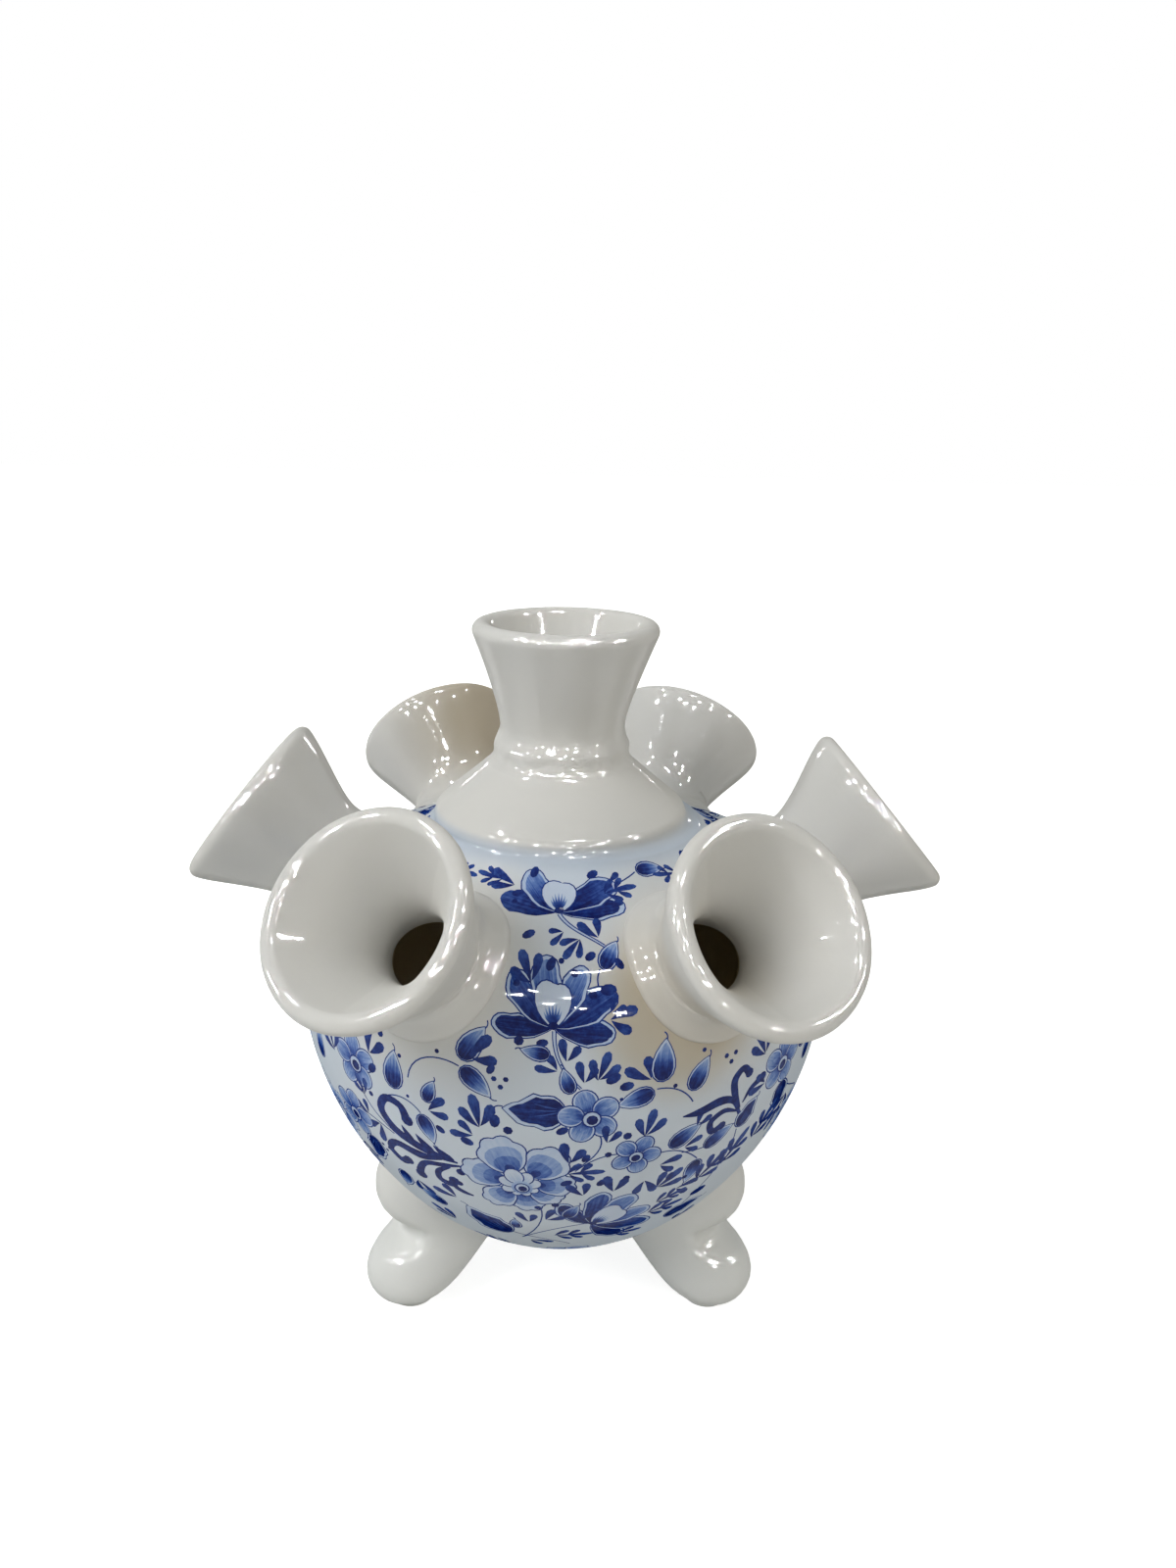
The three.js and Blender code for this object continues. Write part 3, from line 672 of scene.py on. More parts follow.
# One third of the globe, between two feet: motif, degrees to the side, degrees up from the underside,
# scale and turn. The same third follows twice more round the back.
painted_third = [
    # under the shoulder
    (bloom, -1.9, 123.2, 1, -4), (oval, 9.4, 134.2, 0.9, 60), (oval, -8.8, 117.8, 0.9, 60),
    (oval, -15.2, 128, 0.9, 80), (dot, -15.4, 125.6, 0.7), (oval, -11.6, 134.6, 0.9, 10),
    (fern, 11.8, 128.2, 0.72, 74), (duo, 14.4, 131.6, 0.62, 20), (bud_leaf, 26, 133.8, 0.8, 88),
    (oval, 15.6, 125.4, 0.8, 84), (trio, -17.4, 130.2, 0.86, -62), (fern, -22, 131.4, 0.6, -84),
    (trio, 3.2, 117, 0.62, -138), (duo, 7.6, 117.2, 0.8, -28), (duo, -0.6, 118.6, 0.55, -118),
    (oval, 5.2, 113.6, 0.8, 60),
    # between the spouts
    (cupped, -2.1, 101, 1, -3), (trio, -6.6, 108.8, 0.86, -26), (oval, -3, 112.2, 0.9, 22),
    (dot, -0.9, 112.8, 0.7), (dot, -9.4, 108.6, 0.8), (dot, 1.8, 110.6, 0.9), (dot, 5.2, 106.8),
    (bud_leaf, 7.4, 111, 0.8, 32), (oval, 11, 112, 0.8, -30), (oval, 8.2, 107.6, 1.1, 90),
    (duo, 8.4, 103.6, 0.6, 40), (duo, 8.2, 102.4, 0.9, 92), (dot, 7.8, 100, 1.1), (dot, -8.2, 98.6, 1.2),
    (oval, -4, 98.4, 0.8, 80),
    # round the middle
    (duo, 0.4, 95, 0.74, 8), (duo, -1.2, 93.2, 0.7, -62), (bud_leaf, -2.4, 96.2, 0.72, -84),
    (bud_leaf, 1.5, 88.6, 0.7, -22), (duo, 3.6, 90.8, 0.74, 6), (trio, 6, 91.2, 0.8, 20),
    (oval, 8.8, 91.4, 1.1, 60), (oval, 11.3, 89.6, 1, 80), (duo, 15.8, 90.4, 0.95, -42),
    (bud_leaf, 18.1, 89.4, 1.1), (bud_leaf, 24.1, 86.2, 0.95, 24), (bud_leaf, 16.6, 88, 0.95, -112),
    (dot, 20.6, 88.2, 0.6), (dot, 26.4, 94.2, 0.6), (three_dots, 32.6, 91.6), (dot, 10.4, 87, 0.5),
    (bud_leaf, -19.5, 94.6, 1.05, 28), (duo, -17, 94.2, 1, 58), (oval, -13.2, 92.6, 0.8, 30),
    (bud_leaf, -19, 92, 1, 128), (three_dots, -11.5, 90.8), (dot, -23.6, 94.2, 0.6),
    (bud_leaf, -33.6, 83.2, 1.1), (dot, -31.8, 91, 0.6), (bud_leaf, -26.4, 82.7, 0.72, 18),
    (bud_leaf, -28, 79.6, 0.9, 158), (duo, -26, 81, 0.85, 66), (oval, -23.8, 77.2, 0.8, 130),
    (trio, -15.6, 79.8, 1, -10), (duo, -17, 77.6, 0.8, -74), (oval, -12.6, 81.8, 1.1, 10),
    (dot, -30.4, 82.8, 0.5),
    # the belt of open flowers
    (flourish, -21.2, 69.2), (hook, -19.4, 59.6, 0.8), (oval, -18.4, 75.8, 1, 110), (dot, -10.2, 80, 1.2),
    (peony, -8.4, 66, 1.1), (dark_leaf, 0.6, 85.2, 1.04, -98), (rosette, 4.7, 83.6),
    (oval, -0.2, 80.6, 0.9, 60), (duo, 8.2, 77.4, 0.7, 14), (duo, 1.2, 72.6, 0.9, 8),
    (oval, 4.4, 73.8, 0.8, 30), (dot, 8.6, 74.4, 0.9), (fern, 0.6, 69.6, 0.74, 84),
    (oval, 0.8, 67, 0.9, 60), (rosette, 14.2, 73.4, 0.84, 40), (trio, 15.4, 78, 0.85, 14),
    (dot, 12, 78.6, 1.1), (duo, 19.6, 69.4, 0.8, 96), (duo, 17, 65.6, 0.85, 168),
    (bud_leaf, 20.9, 73.7, 1, 52), (duo, 24.4, 72.8, 0.7, 84), (bud_leaf, 29.2, 71, 0.95, 58),
    (bud_leaf, 28.4, 68.2, 0.9, 184), (dot, 26.8, 63.4, 0.8), (trio, 20.4, 62.4, 0.9, 46),
    (duo, 25.8, 60, 0.85, 100), (oval, 22.8, 65.2, 0.9, 20), (duo, 10.6, 63.6, 0.9),
    (oval, 7.9, 66.8, 0.9, 40), (duo, 4.4, 63, 0.8, -24), (dot, 12.9, 67.4, 0.9),
    (duo, 26.4, 77.6, 0.7, 30), (three_dots, 31.6, 61.6, 0.9, 30), (crest, 22.8, 80.8, 0.82, 12),
    (dark_leaf, 37.6, 72.8, 0.66, 26), (oval, 30.6, 71.2, 0.8, 60),
    # towards the underside
    (cupped, 7, 51.6, 1, 44), (dark_leaf, -13, 45.6, 1.1, -48), (bud_leaf, 0.9, 54.6, 0.74, 22),
    (bud_leaf, -11, 48.6, 0.6, -4), (duo, -7.6, 52.4, 0.75, -10), (duo, -3.6, 53.8, 0.8, 40),
    (dot, -5.2, 58.6, 0.9), (dot, -1.4, 59.8), (oval, 5.2, 55, 0.8, 60), (fern, 20.6, 52.6, 0.8, 76),
    (fern, 21.6, 56.4, 0.7, 64), (oval, 33.8, 55.4, 1.4, 70), (fern, -2, 46, 0.8, 84),
    (duo, -8.6, 42, 0.8, 120), (bud_leaf, -28.6, 52, 0.9, -60), (duo, -24.2, 57.2, 0.9, -60),
    (fern, 30.6, 60.6, 1, 38), (fern, 36.8, 62.6, 1, 26), (dark_leaf, 27.6, 47.4, 0.8, 62),
    (trio, 14.6, 44.6, 0.8, 96), (peony, 2.6, 30, 0.82, 160), (fern, -16, 34, 0.9, -70),
    (fern, 22, 32, 0.9, 80), (trio, -30, 44.4, 0.9, -40), (rosette, -46, 20, 0.86), (rosette, 44, 24, 0.8),
    (trio, 36, 40.4, 0.9, 20), (bud_leaf, -10, 19, 0.9, -120), (fern, 20, 14, 0.9, 40),
    (bud_leaf, -30, 30, 0.9, 60), (dark_leaf, -44, 42, 0.7, 160), (trio, 60, 16, 0.8),
    # behind the front spouts and down to the feet
    (rosette, -44.4, 85.2, 1.04, 10), (duo, -39.6, 88.8, 1, 20), (oval, -39, 85.8, 1, 40),
    (fern, -51.4, 84, 0.95, -20), (trio, -42.4, 78.4, 0.66, -28), (dot, -40.4, 79.4, 0.8),
    (duo, -39.6, 72.4, 0.9, -150), (duo, -42.8, 73.4, 0.7, -40), (rosette, -48.8, 71, 1, 30),
    (dark_leaf, -44, 66.4, 0.8, 196), (three_dots, -40.6, 65.6, 0.8, 10), (bud_leaf, -38, 59.4, 0.9, 196),
    (duo, -34.4, 58.4, 0.8, 160), (fern, -53, 60.4, 0.9, 170), (dot, -36.4, 94, 0.9),
    (rosette, 48.6, 84, 1.04, 20), (trio, 42, 88.4, 0.9, -24), (dark_leaf, 50, 78.6, 0.78, 168),
    (fern, 44.8, 66, 1, 30), (duo, 43.2, 81.4, 0.8, -80), (bud_leaf, 55.2, 84.4, 0.9, 60),
    (fern, 55, 73.4, 0.95, 200), (bud_leaf, 60.6, 78.8, 0.95, 4), (trio, 57.8, 90.6, 0.9, -20),
    (three_dots, 53.8, 93.4), (dot, 46.4, 92.2), (trio, 64.8, 88.6, 0.85, 30),
    (peony, 60.8, 66.4, 0.7, 180), (cupped, 60.6, 101.2, 0.9, 4), (trio, 52, 100, 0.7, -30),
    (dot, 67.6, 99.4, 1.2), (bud_leaf, 66.6, 106.6, 0.8, 30), (trio, 55.6, 109, 0.8, -20),
    (bloom, 60, 123.2, 0.94, 3), (duo, 56.8, 117, 0.7, -120), (duo, 64.6, 117.2, 0.75, 130),
    (oval, 60.4, 114.4, 0.9), (fern, 77.6, 130.4, 0.6, 80), (fern, 42.4, 130.4, 0.6, -80),
    (oval, 50.4, 134.6, 0.8, 30), (oval, 69.2, 134.8, 0.8, -30),
]
# Fine stems between the motifs: whether doubled, then four corners as degrees to the side and up
painted_stems = [
    (1, (-1.9, 123), (0.4, 119.4), (4.8, 118), (8.6, 115.4)),
    (1, (-1.9, 100.6), (-2, 96.4), (-0.6, 93.2), (3, 89.6)),
    (0, (6.9, 111.2), (5.4, 108.8), (7, 108.6), (6, 104)),
    (0, (12, 128.2), (15, 130.6), (20.4, 131.2), (25.6, 133.6)),
    (0, (6, 80.6), (8.8, 77), (6, 73.4), (1.4, 70.4)), (0, (12.6, 74), (8.4, 75.2), (5, 73.2), (2.4, 70.4)),
    (0, (17, 88.2), (20, 88.4), (23, 86.8), (24.6, 83.8)),
    (0, (-19.2, 92.2), (-23, 93.8), (-29.2, 93), (-30, 87)),
    (0, (-27.8, 79.8), (-29.6, 82.2), (-33, 82.8), (-36, 80.8)),
    (0, (17.4, 72.6), (21.6, 74), (25.4, 71.8), (28.4, 68.4)),
    (0, (24, 71.6), (26.6, 71.2), (28.4, 71), (29.4, 71.2)),
    (0, (-7.4, 62.6), (-2.8, 60), (-3.2, 52.4), (-10.6, 43.4)),
    (0, (-10.6, 43.4), (-6, 48), (0, 51.6), (8, 52.4)), (0, (-43.6, 82), (-44, 78), (-40, 74), (-34, 71)),
    (0, (-47.6, 73), (-44, 74.2), (-40, 73), (-36, 71.4)),
    (0, (37.4, 72.6), (38.6, 66), (34, 58), (28.6, 47.6)),
    (0, (49.4, 80.4), (52, 76), (57, 74.4), (60.6, 72.4)),
    (0, (60.2, 100.8), (60.8, 96.6), (57.4, 94.4), (55.2, 84.8)),
    (0, (60.4, 122.4), (62, 119.6), (64, 118), (64.6, 116.4)), (0, (24, 33), (30, 38), (40, 36), (44, 30)),
    (0, (-16, 34), (-24, 33), (-34, 28), (-42, 24)), (0, (2.6, 40), (-2, 44), (-8, 44), (-13, 46.4)),
]
third_centres = (270.0, 30.0, 150.0)
painted_top = radians(136.4)
skirt_clearance = 0.2
nudges = (0, 0.7, 1.4, 2.1)


def has_room(stroke):
    """Paint stops short of the white fillets round the spouts and of the shoulder"""
    directions = from_chart(stroke["chart"])
    if np.hypot(*stroke["chart"].T).max() > painted_top * globe_radius:
        return False
    for middle, level_side, round_it, spread in skirts:
        away, turned = bearing(middle, level_side, directions)
        edge = np.interp(turned, round_it, spread, period=2 * pi)
        if np.any((away - edge) * globe_radius < skirt_clearance):
            return False
    return True


def paint(motif, azimuth, polar, scale=1, turn=0):
    """Paints a motif, moved a few mm away from the nearest spout where its root is in the way"""
    first = len(strokes)
    for step in nudges:
        del strokes[first:]
        spot = place_at(azimuth, polar)["out"]
        nearest = seats[np.argmax(seats @ spot)]
        pushed = spot + (spot - nearest) / np.linalg.norm(spot - nearest) * step / globe_radius
        around = degrees(atan2(pushed[1], pushed[0]))
        fall = degrees(atan2(hypot(pushed[0], pushed[1]), -pushed[2]))
        motif(place_at(around, min(fall, max(polar, 90)), turn, scale))
        if all(has_room(stroke) for stroke in strokes[first:]):
            return
    del strokes[first:]
    motif(place_at(azimuth, polar, turn, scale))
    strokes[first:] = [stroke for stroke in strokes[first:] if has_room(stroke)]


for centre in third_centres:
    for doubled, *corners in painted_stems:
        spot = place_at(centre + corners[0][0], corners[0][1])
        knots = [place_at(centre + side, height)["out"] for side, height in corners]
        (stalk if doubled else tendril)(spot, off_globe(spot, np.array(knots)))
    for motif, side, height, *drawn in painted_third:
        paint(motif, centre + side, height, *drawn)
strokes = [stroke for stroke in strokes if has_room(stroke)]

# Skin: one unbroken glazed surface with a throat hole under each spout, and the wall's inner face under it.
# Its chart is cut along every stroke's edge, so that each stroke is its own set of faces.
rim_steps = 160
rim_polar = radians(137.0)
skin_spacing = 3.0
lining_spacing = 6.0


def chart_ring(polar, count, shift=0.0):
    angles = 2 * np.pi * (np.arange(count) + shift) / count
    return np.stack([np.cos(angles), np.sin(angles)], 1) * polar * globe_radius


def cut_chart(outlines, spacing, depth=0.0):
    """Triangles of the chart between the shoulder and the throat holes, cut along the given outlines"""
    rings = [throat_ring(azimuth, lean, hole_radius, 0.02) for _, azimuth, lean in slanted_spouts]
    holes = [to_chart(undercut(ring, depth)) for ring in rings]
    loops = [chart_ring(rim_polar, rim_steps)] + holes + outlines
    points, faces, count = [], [], 0
    for loop in loops:
        area = np.sum(loop[:, 0] * np.roll(loop[:, 1], -1) - np.roll(loop[:, 0], -1) * loop[:, 1])
        numbers = list(range(count, count + len(loop)))
        faces.append(numbers if area > 0 else numbers[::-1])
        points.append(loop)
        count += len(loop)
    ring_count = int(rim_polar * globe_radius / spacing)
    points.append(np.zeros((1, 2)))
    for i in range(1, ring_count):
        polar = rim_polar * i / ring_count
        number = max(6, int(2 * pi * globe_radius * sin(polar) / spacing))
        points.append(chart_ring(polar, number, 0.5 * (i % 2)))
    flat = [Vector(p) for p in np.vstack(points)]
    cut = delaunay_2d_cdt(flat, [], faces, 1, 1e-4)
    chart = np.array([tuple(v) for v in cut[0]])
    kept, top = [], []
    for corners, owners in zip(cut[2], cut[5]):
        if 0 in owners and not any(1 <= o <= len(holes) for o in owners):
            kept.append(corners)
            top.append(max(owners) - len(holes) - 1)
    return chart, np.array(kept), np.array(top)


chart, triangles, owners = cut_chart([stroke["chart"] for stroke in strokes], skin_spacing)
directions = from_chart(chart)
skin = globe_points(directions) / 1000
print("painted strokes", len(strokes), "skin triangles", len(triangles))

# Each corner keeps where it lies along and across its stroke, and the stroke's own tones
painting = np.zeros((len(triangles), 3, 3), np.float32)
washes = np.zeros((len(triangles), 3, 3), np.float32)
for number in np.unique(owners[owners >= 0]):
    stroke = strokes[number]
    mine = owners == number
    local = off_globe(stroke["spot"], directions[triangles[mine].ravel()])
    spine = stroke["tip"] - stroke["base"]
    length = max(np.linalg.norm(spine), 1e-6)
    ahead = spine / length
    offset = local - stroke["base"]
    painting[mine, :, 0] = (offset @ ahead / length).reshape(-1, 3)
    painting[mine, :, 1] = (offset @ np.array([ahead[1], -ahead[0]]) / stroke["half"]).reshape(-1, 3)
    painting[mine, :, 2] = (number * 0.37) % 7
    washes[mine] = stroke["tone"]

# The lining inside is a second, coarser skin one wall thickness in
lining_chart, lining_triangles, _ = cut_chart([], lining_spacing, wall)
lining = globe_points(from_chart(lining_chart), wall) / 1000
mesh = bpy.data.meshes.new("globe")
all_faces = np.vstack([triangles[:, ::-1], lining_triangles + len(skin)])
mesh.from_pydata(np.vstack([skin, lining]).tolist(), [], all_faces.tolist())
inside = np.arange(len(all_faces)) >= len(triangles)
mesh.polygons.foreach_set("material_index", inside.astype(np.int32))
for name, values in (("stroke", painting), ("wash", washes)):
    layer = mesh.attributes.new(name, "FLOAT_VECTOR", "CORNER")
    values = np.vstack([values[:, ::-1], np.zeros((len(lining_triangles), 3, 3), np.float32)])
    layer.data.foreach_set("vector", values.ravel())

# The edges of the throat holes are drawn inwards through the wall, with the thin glaze of the inside on it
highest_hole = 0.1065
bm = bmesh.new()
bm.from_mesh(mesh)
edge_of_holes = [
    e for e in bm.edges
    if e.is_boundary and all(v.index < len(skin) and v.co.z < highest_hole for v in e.verts)
]
reached = 0.0
for depth, material in ((0.05, 0), (1.6, 1), (wall, 1)):
    pulled = bmesh.ops.extrude_edge_only(bm, edges=edge_of_holes)["geom"]
    for face in (g for g in pulled if isinstance(g, bmesh.types.BMFace)):
        face.material_index = material
    edge_of_holes = [g for g in pulled if isinstance(g, bmesh.types.BMEdge)]
    for vert in (g for g in pulled if isinstance(g, bmesh.types.BMVert)):
        offset = np.array(vert.co) * 1000 - [0, 0, globe_centre]
        direction = undercut((offset / np.linalg.norm(offset))[None], depth - reached)
        vert.co = Vector(globe_points(direction, depth)[0] / 1000)
    reached = depth

# Shoulder: cast in one with the globe, and left white. A shallow groove, a rounded edge and a low cone
# lead up to the neck. The pour hole through its top opens into the globe.
cone_edge = np.array([23.8, 110.0])
cone_rounding = 3.2
cone_edge_from, cone_edge_to = radians(12), radians(49.45)
cone_top_radius = 14.0
cone_top_height = 122.6
cone_offset = -1.2
offset_from, offset_height = 108.4, 1.8
pour_hole_radius = 7.6
pour_hole_bevel = 0.5


def outline_at(polar, depth=0.0):
    """Radius and height of the skin, or of the lining under it, at one angle"""
    reach = reach_at(polar) - depth
    return np.array([reach * sin(polar), globe_centre - reach * cos(polar)])


rim = outline_at(rim_polar)
turn_angles = np.linspace(cone_edge_from, cone_edge_to, 12)
edge_arc = cone_edge + cone_rounding * np.stack([np.cos(turn_angles), np.sin(turn_angles)], 1)
groove = bezier([rim, rim + np.array([-0.85, 0.6]), edge_arc[0] + [0.42, -1.6], edge_arc[0]], 12)
cone_line = np.linspace(edge_arc[-1], (cone_top_radius, cone_top_height), 12)[1:]
shoulder_profile = np.vstack([
    groove,
    edge_arc[1:],
    cone_line,
    [(pour_hole_radius + pour_hole_bevel, cone_top_height)],
    [(pour_hole_radius, cone_top_height - pour_hole_bevel)],
    [(pour_hole_radius, cone_top_height - wall)],
    np.linspace((pour_hole_radius, cone_top_height - wall), outline_at(rim_polar, wall), 5)[1:],
])
shoulder_verts = [bm.verts.new((r / 1000, 0, z / 1000)) for r, z in shoulder_profile]
shoulder_edges = [bm.edges.new(pair) for pair in zip(shoulder_verts[:-1], shoulder_verts[1:])]
bmesh.ops.spin(
    bm, geom=shoulder_verts + shoulder_edges, cent=(0, 0, 0), axis=(0, 0, 1),
    angle=2 * pi, steps=rim_steps, use_merge=True,
)
bmesh.ops.remove_doubles(bm, verts=bm.verts, dist=2e-6)
# The cone sits a little to the left of the globe's middle
for vert in bm.verts:
    rise = min(max((vert.co.z * 1000 - offset_from) / offset_height, 0), 1)
    vert.co.x += cone_offset / 1000 * rise * rise * (3 - 2 * rise)
bmesh.ops.recalc_face_normals(bm, faces=bm.faces)
print("open edges of the globe", sum(1 for e in bm.edges if not e.is_manifold))
for face in bm.faces:
    face.smooth = True
bm.to_mesh(mesh)
bm.free()

# The skin is shaded with the outline's own normals, so that the strokes' small faces don't show
corner_places = np.zeros(len(mesh.vertices) * 3)
mesh.vertices.foreach_get("co", corner_places)
corner_places = corner_places.reshape(-1, 3) * 1000 - [0, 0, globe_centre]
corner_reach = np.linalg.norm(corner_places, axis=1)
corner_directions = corner_places / corner_reach[:, None]
corner_polar = polar_of(corner_directions)
on_skin = (np.abs(corner_reach - reach_at(corner_polar)) < 0.01) & (corner_polar < rim_polar - 0.002)
shading = np.zeros(len(mesh.vertices) * 3)
mesh.vertices.foreach_get("normal", shading)
shading = shading.reshape(-1, 3)
shading[on_skin] = globe_normals(corner_directions[on_skin])
mesh.normals_split_custom_set_from_vertices(shading.tolist())

# The glaze is a little bluer over the painting, and plain white on the cone and round the spouts
cast_from, cast_spread = 15.0, 15.0
from_spouts = np.arccos(np.clip(corner_directions @ seats.T, -1, 1)).min(1) * globe_radius
blue_cast = np.clip((from_spouts - cast_from) / cast_spread, 0, 1)
blue_cast *= np.clip((rim_polar + 0.08 - corner_polar) / 0.06, 0, 1)
cast = mesh.attributes.new("blue_cast", "FLOAT", "POINT")
cast.data.foreach_set("value", blue_cast.astype(np.float32))


# Tin-white glaze over white earthenware, dipped and fired: glassy and softly uneven, with painted grey-blue
# shade in the groove under the cone. All the glazes start as this empty surface and end with the same glassy
# finish.
def glaze_surface(name):
    material = bpy.data.materials.new(name)
    material.use_nodes = True
    tree = material.node_tree
    tree.nodes.clear()
    return material, tree, add_node(tree, "TexCoord").outputs["Object"]


def glaze_finish(tree, place, colour, roughness=0.05, shine=0.34):
    """Glassy shine that breaks up in ripples 1 cm wide and pits 1.5 mm wide, and fades at the edges"""
    ripple = add_node(tree, "TexNoise", {"Vector": place, "Scale": 95, "Detail": 2, "Roughness": 0.5})
    pits = add_node(tree, "TexNoise", {"Vector": place, "Scale": 700, "Detail": 1, "Roughness": 0.5})
    height = add_node(tree, "Math", [pits, 0.12, ripple], operation="MULTIPLY_ADD")
    bump = add_node(tree, "Bump", {"Strength": 0.28, "Distance": 0.0006, "Height": height})
    facing = add_node(tree, "LayerWeight", {"Blend": 0.5}).outputs["Facing"]
    gloss = add_node(tree, "MapRange", [facing, 0.2, 0.72, shine, 0])
    shader = add_node(tree, "BsdfPrincipled", {
        "Base Color": colour,
        "Roughness": roughness,
        "IOR": 1.5,
        "Specular IOR Level": gloss,
        "Normal": bump,
    })
    add_node(tree, "OutputMaterial", [shader])


def painted_warm_reflection(tree, place, colour, centre, full, faded, strength):
    """Painted warm reflection of the room: a buff tint at full strength up to some mm from a place,
    and faded out at some more"""
    middle = [value / 1000 for value in centre]
    away = add_node(tree, "VectorMath", [place, middle], operation="DISTANCE").outputs["Value"]
    ends = [away, full / 1000, faded / 1000, strength, 0]
    share = add_node(tree, "MapRange", ends, interpolation_type="SMOOTHSTEP")
    mixed = {0: share, 6: colour, 7: to_linear("dac8a8")}
    return add_node(tree, "Mix", mixed, data_type="RGBA", blend_type="MULTIPLY").outputs[2]


def mottled(tree, place, warm, cool):
    """The glaze drifts between a warmer and a cooler white over about 3 cm"""
    drift = add_node(tree, "TexNoise", {"Vector": place, "Scale": 32, "Detail": 2, "Roughness": 0.5})
    mixed = {0: drift, 6: to_linear(warm), 7: to_linear(cool)}
    return add_node(tree, "Mix", mixed, data_type="RGBA").outputs[2]


# Painted glaze: a cool white ground, with the cobalt sunk into it in brushed washes of blue
glaze_white = ("cac8c1", "c5c5c2")
painted_glaze, tree, place = glaze_surface("cobalt_painted_tin_glaze")
ground = add_node(tree, "Mix", {
    0: add_node(tree, "Attribute", attribute_name="blue_cast").outputs["Fac"],
    6: mottled(tree, place, *glaze_white),
    7: mottled(tree, place, "c3c9ce", "bac5d0"),
}, data_type="RGBA").outputs[2]
# Painted shade: the glaze is darker and grey-blue in the groove under the cone
height_at = add_node(tree, "SeparateXYZ", [place]).outputs["Z"]
above = add_node(tree, "MapRange", [height_at, 0.1066, 0.109, 0, 0.6], interpolation_type="SMOOTHSTEP")
below = add_node(tree, "MapRange", [height_at, 0.1092, 0.1118, 1, 0], interpolation_type="SMOOTHSTEP")
groove_shade = add_node(tree, "Math", [above, below], operation="MULTIPLY")
ground = add_node(tree, "Mix", {0: groove_shade, 6: ground, 7: to_linear("a4aeba")}, data_type="RGBA").outputs[2]
# Painted warm reflection of the room on the globe, beside the front right spout's root
ground = painted_warm_reflection(tree, place, ground, (20, -52, 89), 9, 21, 0.7)
# Each stroke fades from its base to its tip, with streaks along the brush and fine blotches
stroke_at = add_node(tree, "Attribute", attribute_name="stroke").outputs["Vector"]
wash_at = add_node(tree, "Attribute", attribute_name="wash").outputs["Vector"]
along_stroke = add_node(tree, "SeparateXYZ", [stroke_at])
base_tone, tip_tone, streakiness = add_node(tree, "SeparateXYZ", [wash_at]).outputs
ends = [along_stroke, 0.15, 0.95, base_tone, tip_tone]
fade = add_node(tree, "MapRange", ends, interpolation_type="SMOOTHSTEP")
bristles = add_node(tree, "VectorMath", [stroke_at, (1.6, 5.5, 9.0)], operation="MULTIPLY")
streaks = add_node(tree, "TexNoise", {"Vector": bristles, "Scale": 1, "Detail": 3, "Roughness": 0.6})
centred = add_node(tree, "Math", [streaks, 0.5], operation="SUBTRACT")
streaked = add_node(tree, "Math", [centred, streakiness], operation="MULTIPLY")
stronger = add_node(tree, "Math", [streaked, 2.2, fade], operation="MULTIPLY_ADD")
pooling = add_node(tree, "TexNoise", {"Vector": place, "Scale": 900, "Detail": 2, "Roughness": 0.6})
blotches = add_node(tree, "MapRange", [pooling, 0.3, 0.7, 0.88, 1.08])
tone = add_node(tree, "Math", [stronger, blotches], operation="MULTIPLY", use_clamp=True)
cobalt = add_node(tree, "ValToRGB", [tone])
blues = cobalt.color_ramp.elements
blues[0].color, blues[1].color = to_linear("bdc7d4"), to_linear("041250")
for position, colour in ((0.22, "98acca"), (0.45, "5e7ab2"), (0.68, "2c4a90"), (0.86, "102a70")):
    blues.new(position).color = to_linear(colour)
painted = add_node(tree, "Math", [base_tone, 0.001], operation="GREATER_THAN")
colour = add_node(tree, "Mix", {0: painted, 6: ground, 7: cobalt}, data_type="RGBA").outputs[2]
glaze_finish(tree, place, colour, 0.05, 0.12)

# Inside, a thin dull glaze lets the buff clay through, and the throats look brown in their shade
inside_glaze, tree, place = glaze_surface("thin_glaze_over_clay_inside")
glaze_finish(tree, place, mottled(tree, place, "c6b590", "ae9c76"), 0.3)

body = bpy.data.objects.new("globe_painted", mesh)
mesh.materials.append(painted_glaze)
mesh.materials.append(inside_glaze)
bpy.context.collection.objects.link(body)
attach(body, "root")
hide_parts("body")

# White glaze of the spouts and feet: the same glaze with no painting, so a warmer and glossier white
white_glaze, tree, place = glaze_surface("plain_white_tin_glaze")
white = mottled(tree, place, *glaze_white)
# Painted bounce light: the white is lighter low on the feet, below about 4 cm, as if lit from the floor
height_at = add_node(tree, "SeparateXYZ", [place]).outputs["Z"]
painted_bounce_light = add_node(tree, "MapRange", [height_at, 0.02, 0.042, 1, 0], interpolation_type="SMOOTHSTEP")
white = add_node(tree, "Mix", {0: painted_bounce_light, 6: white, 7: to_linear("d3d4d0")}, data_type="RGBA").outputs[2]
# Painted warm reflections of the room: on the back left spout, and round the front right spout's root
white = painted_warm_reflection(tree, place, white, (-21, 54, 116), 7, 30, 0.8)
white = painted_warm_reflection(tree, place, white, (20, -52, 89), 10, 24, 0.3)
glaze_finish(tree, place, white)


def uneven(place, wavelength):
    """How far a hand-smoothed surface swells or dips at a place in mm, out of 1"""
    return noise.noise(Vector(place) / wavelength)


def finish_piece(name, bm, node):
    bmesh.ops.recalc_face_normals(bm, faces=bm.faces)
    for face in bm.faces:
        face.smooth = True
    mesh = bpy.data.meshes.new(name)
    bm.to_mesh(mesh)
    bm.free()
    piece = bpy.data.objects.new(name, mesh)
    mesh.materials.append(white_glaze)
    bpy.context.collection.objects.link(piece)
    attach(piece, "root")
    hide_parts(node)


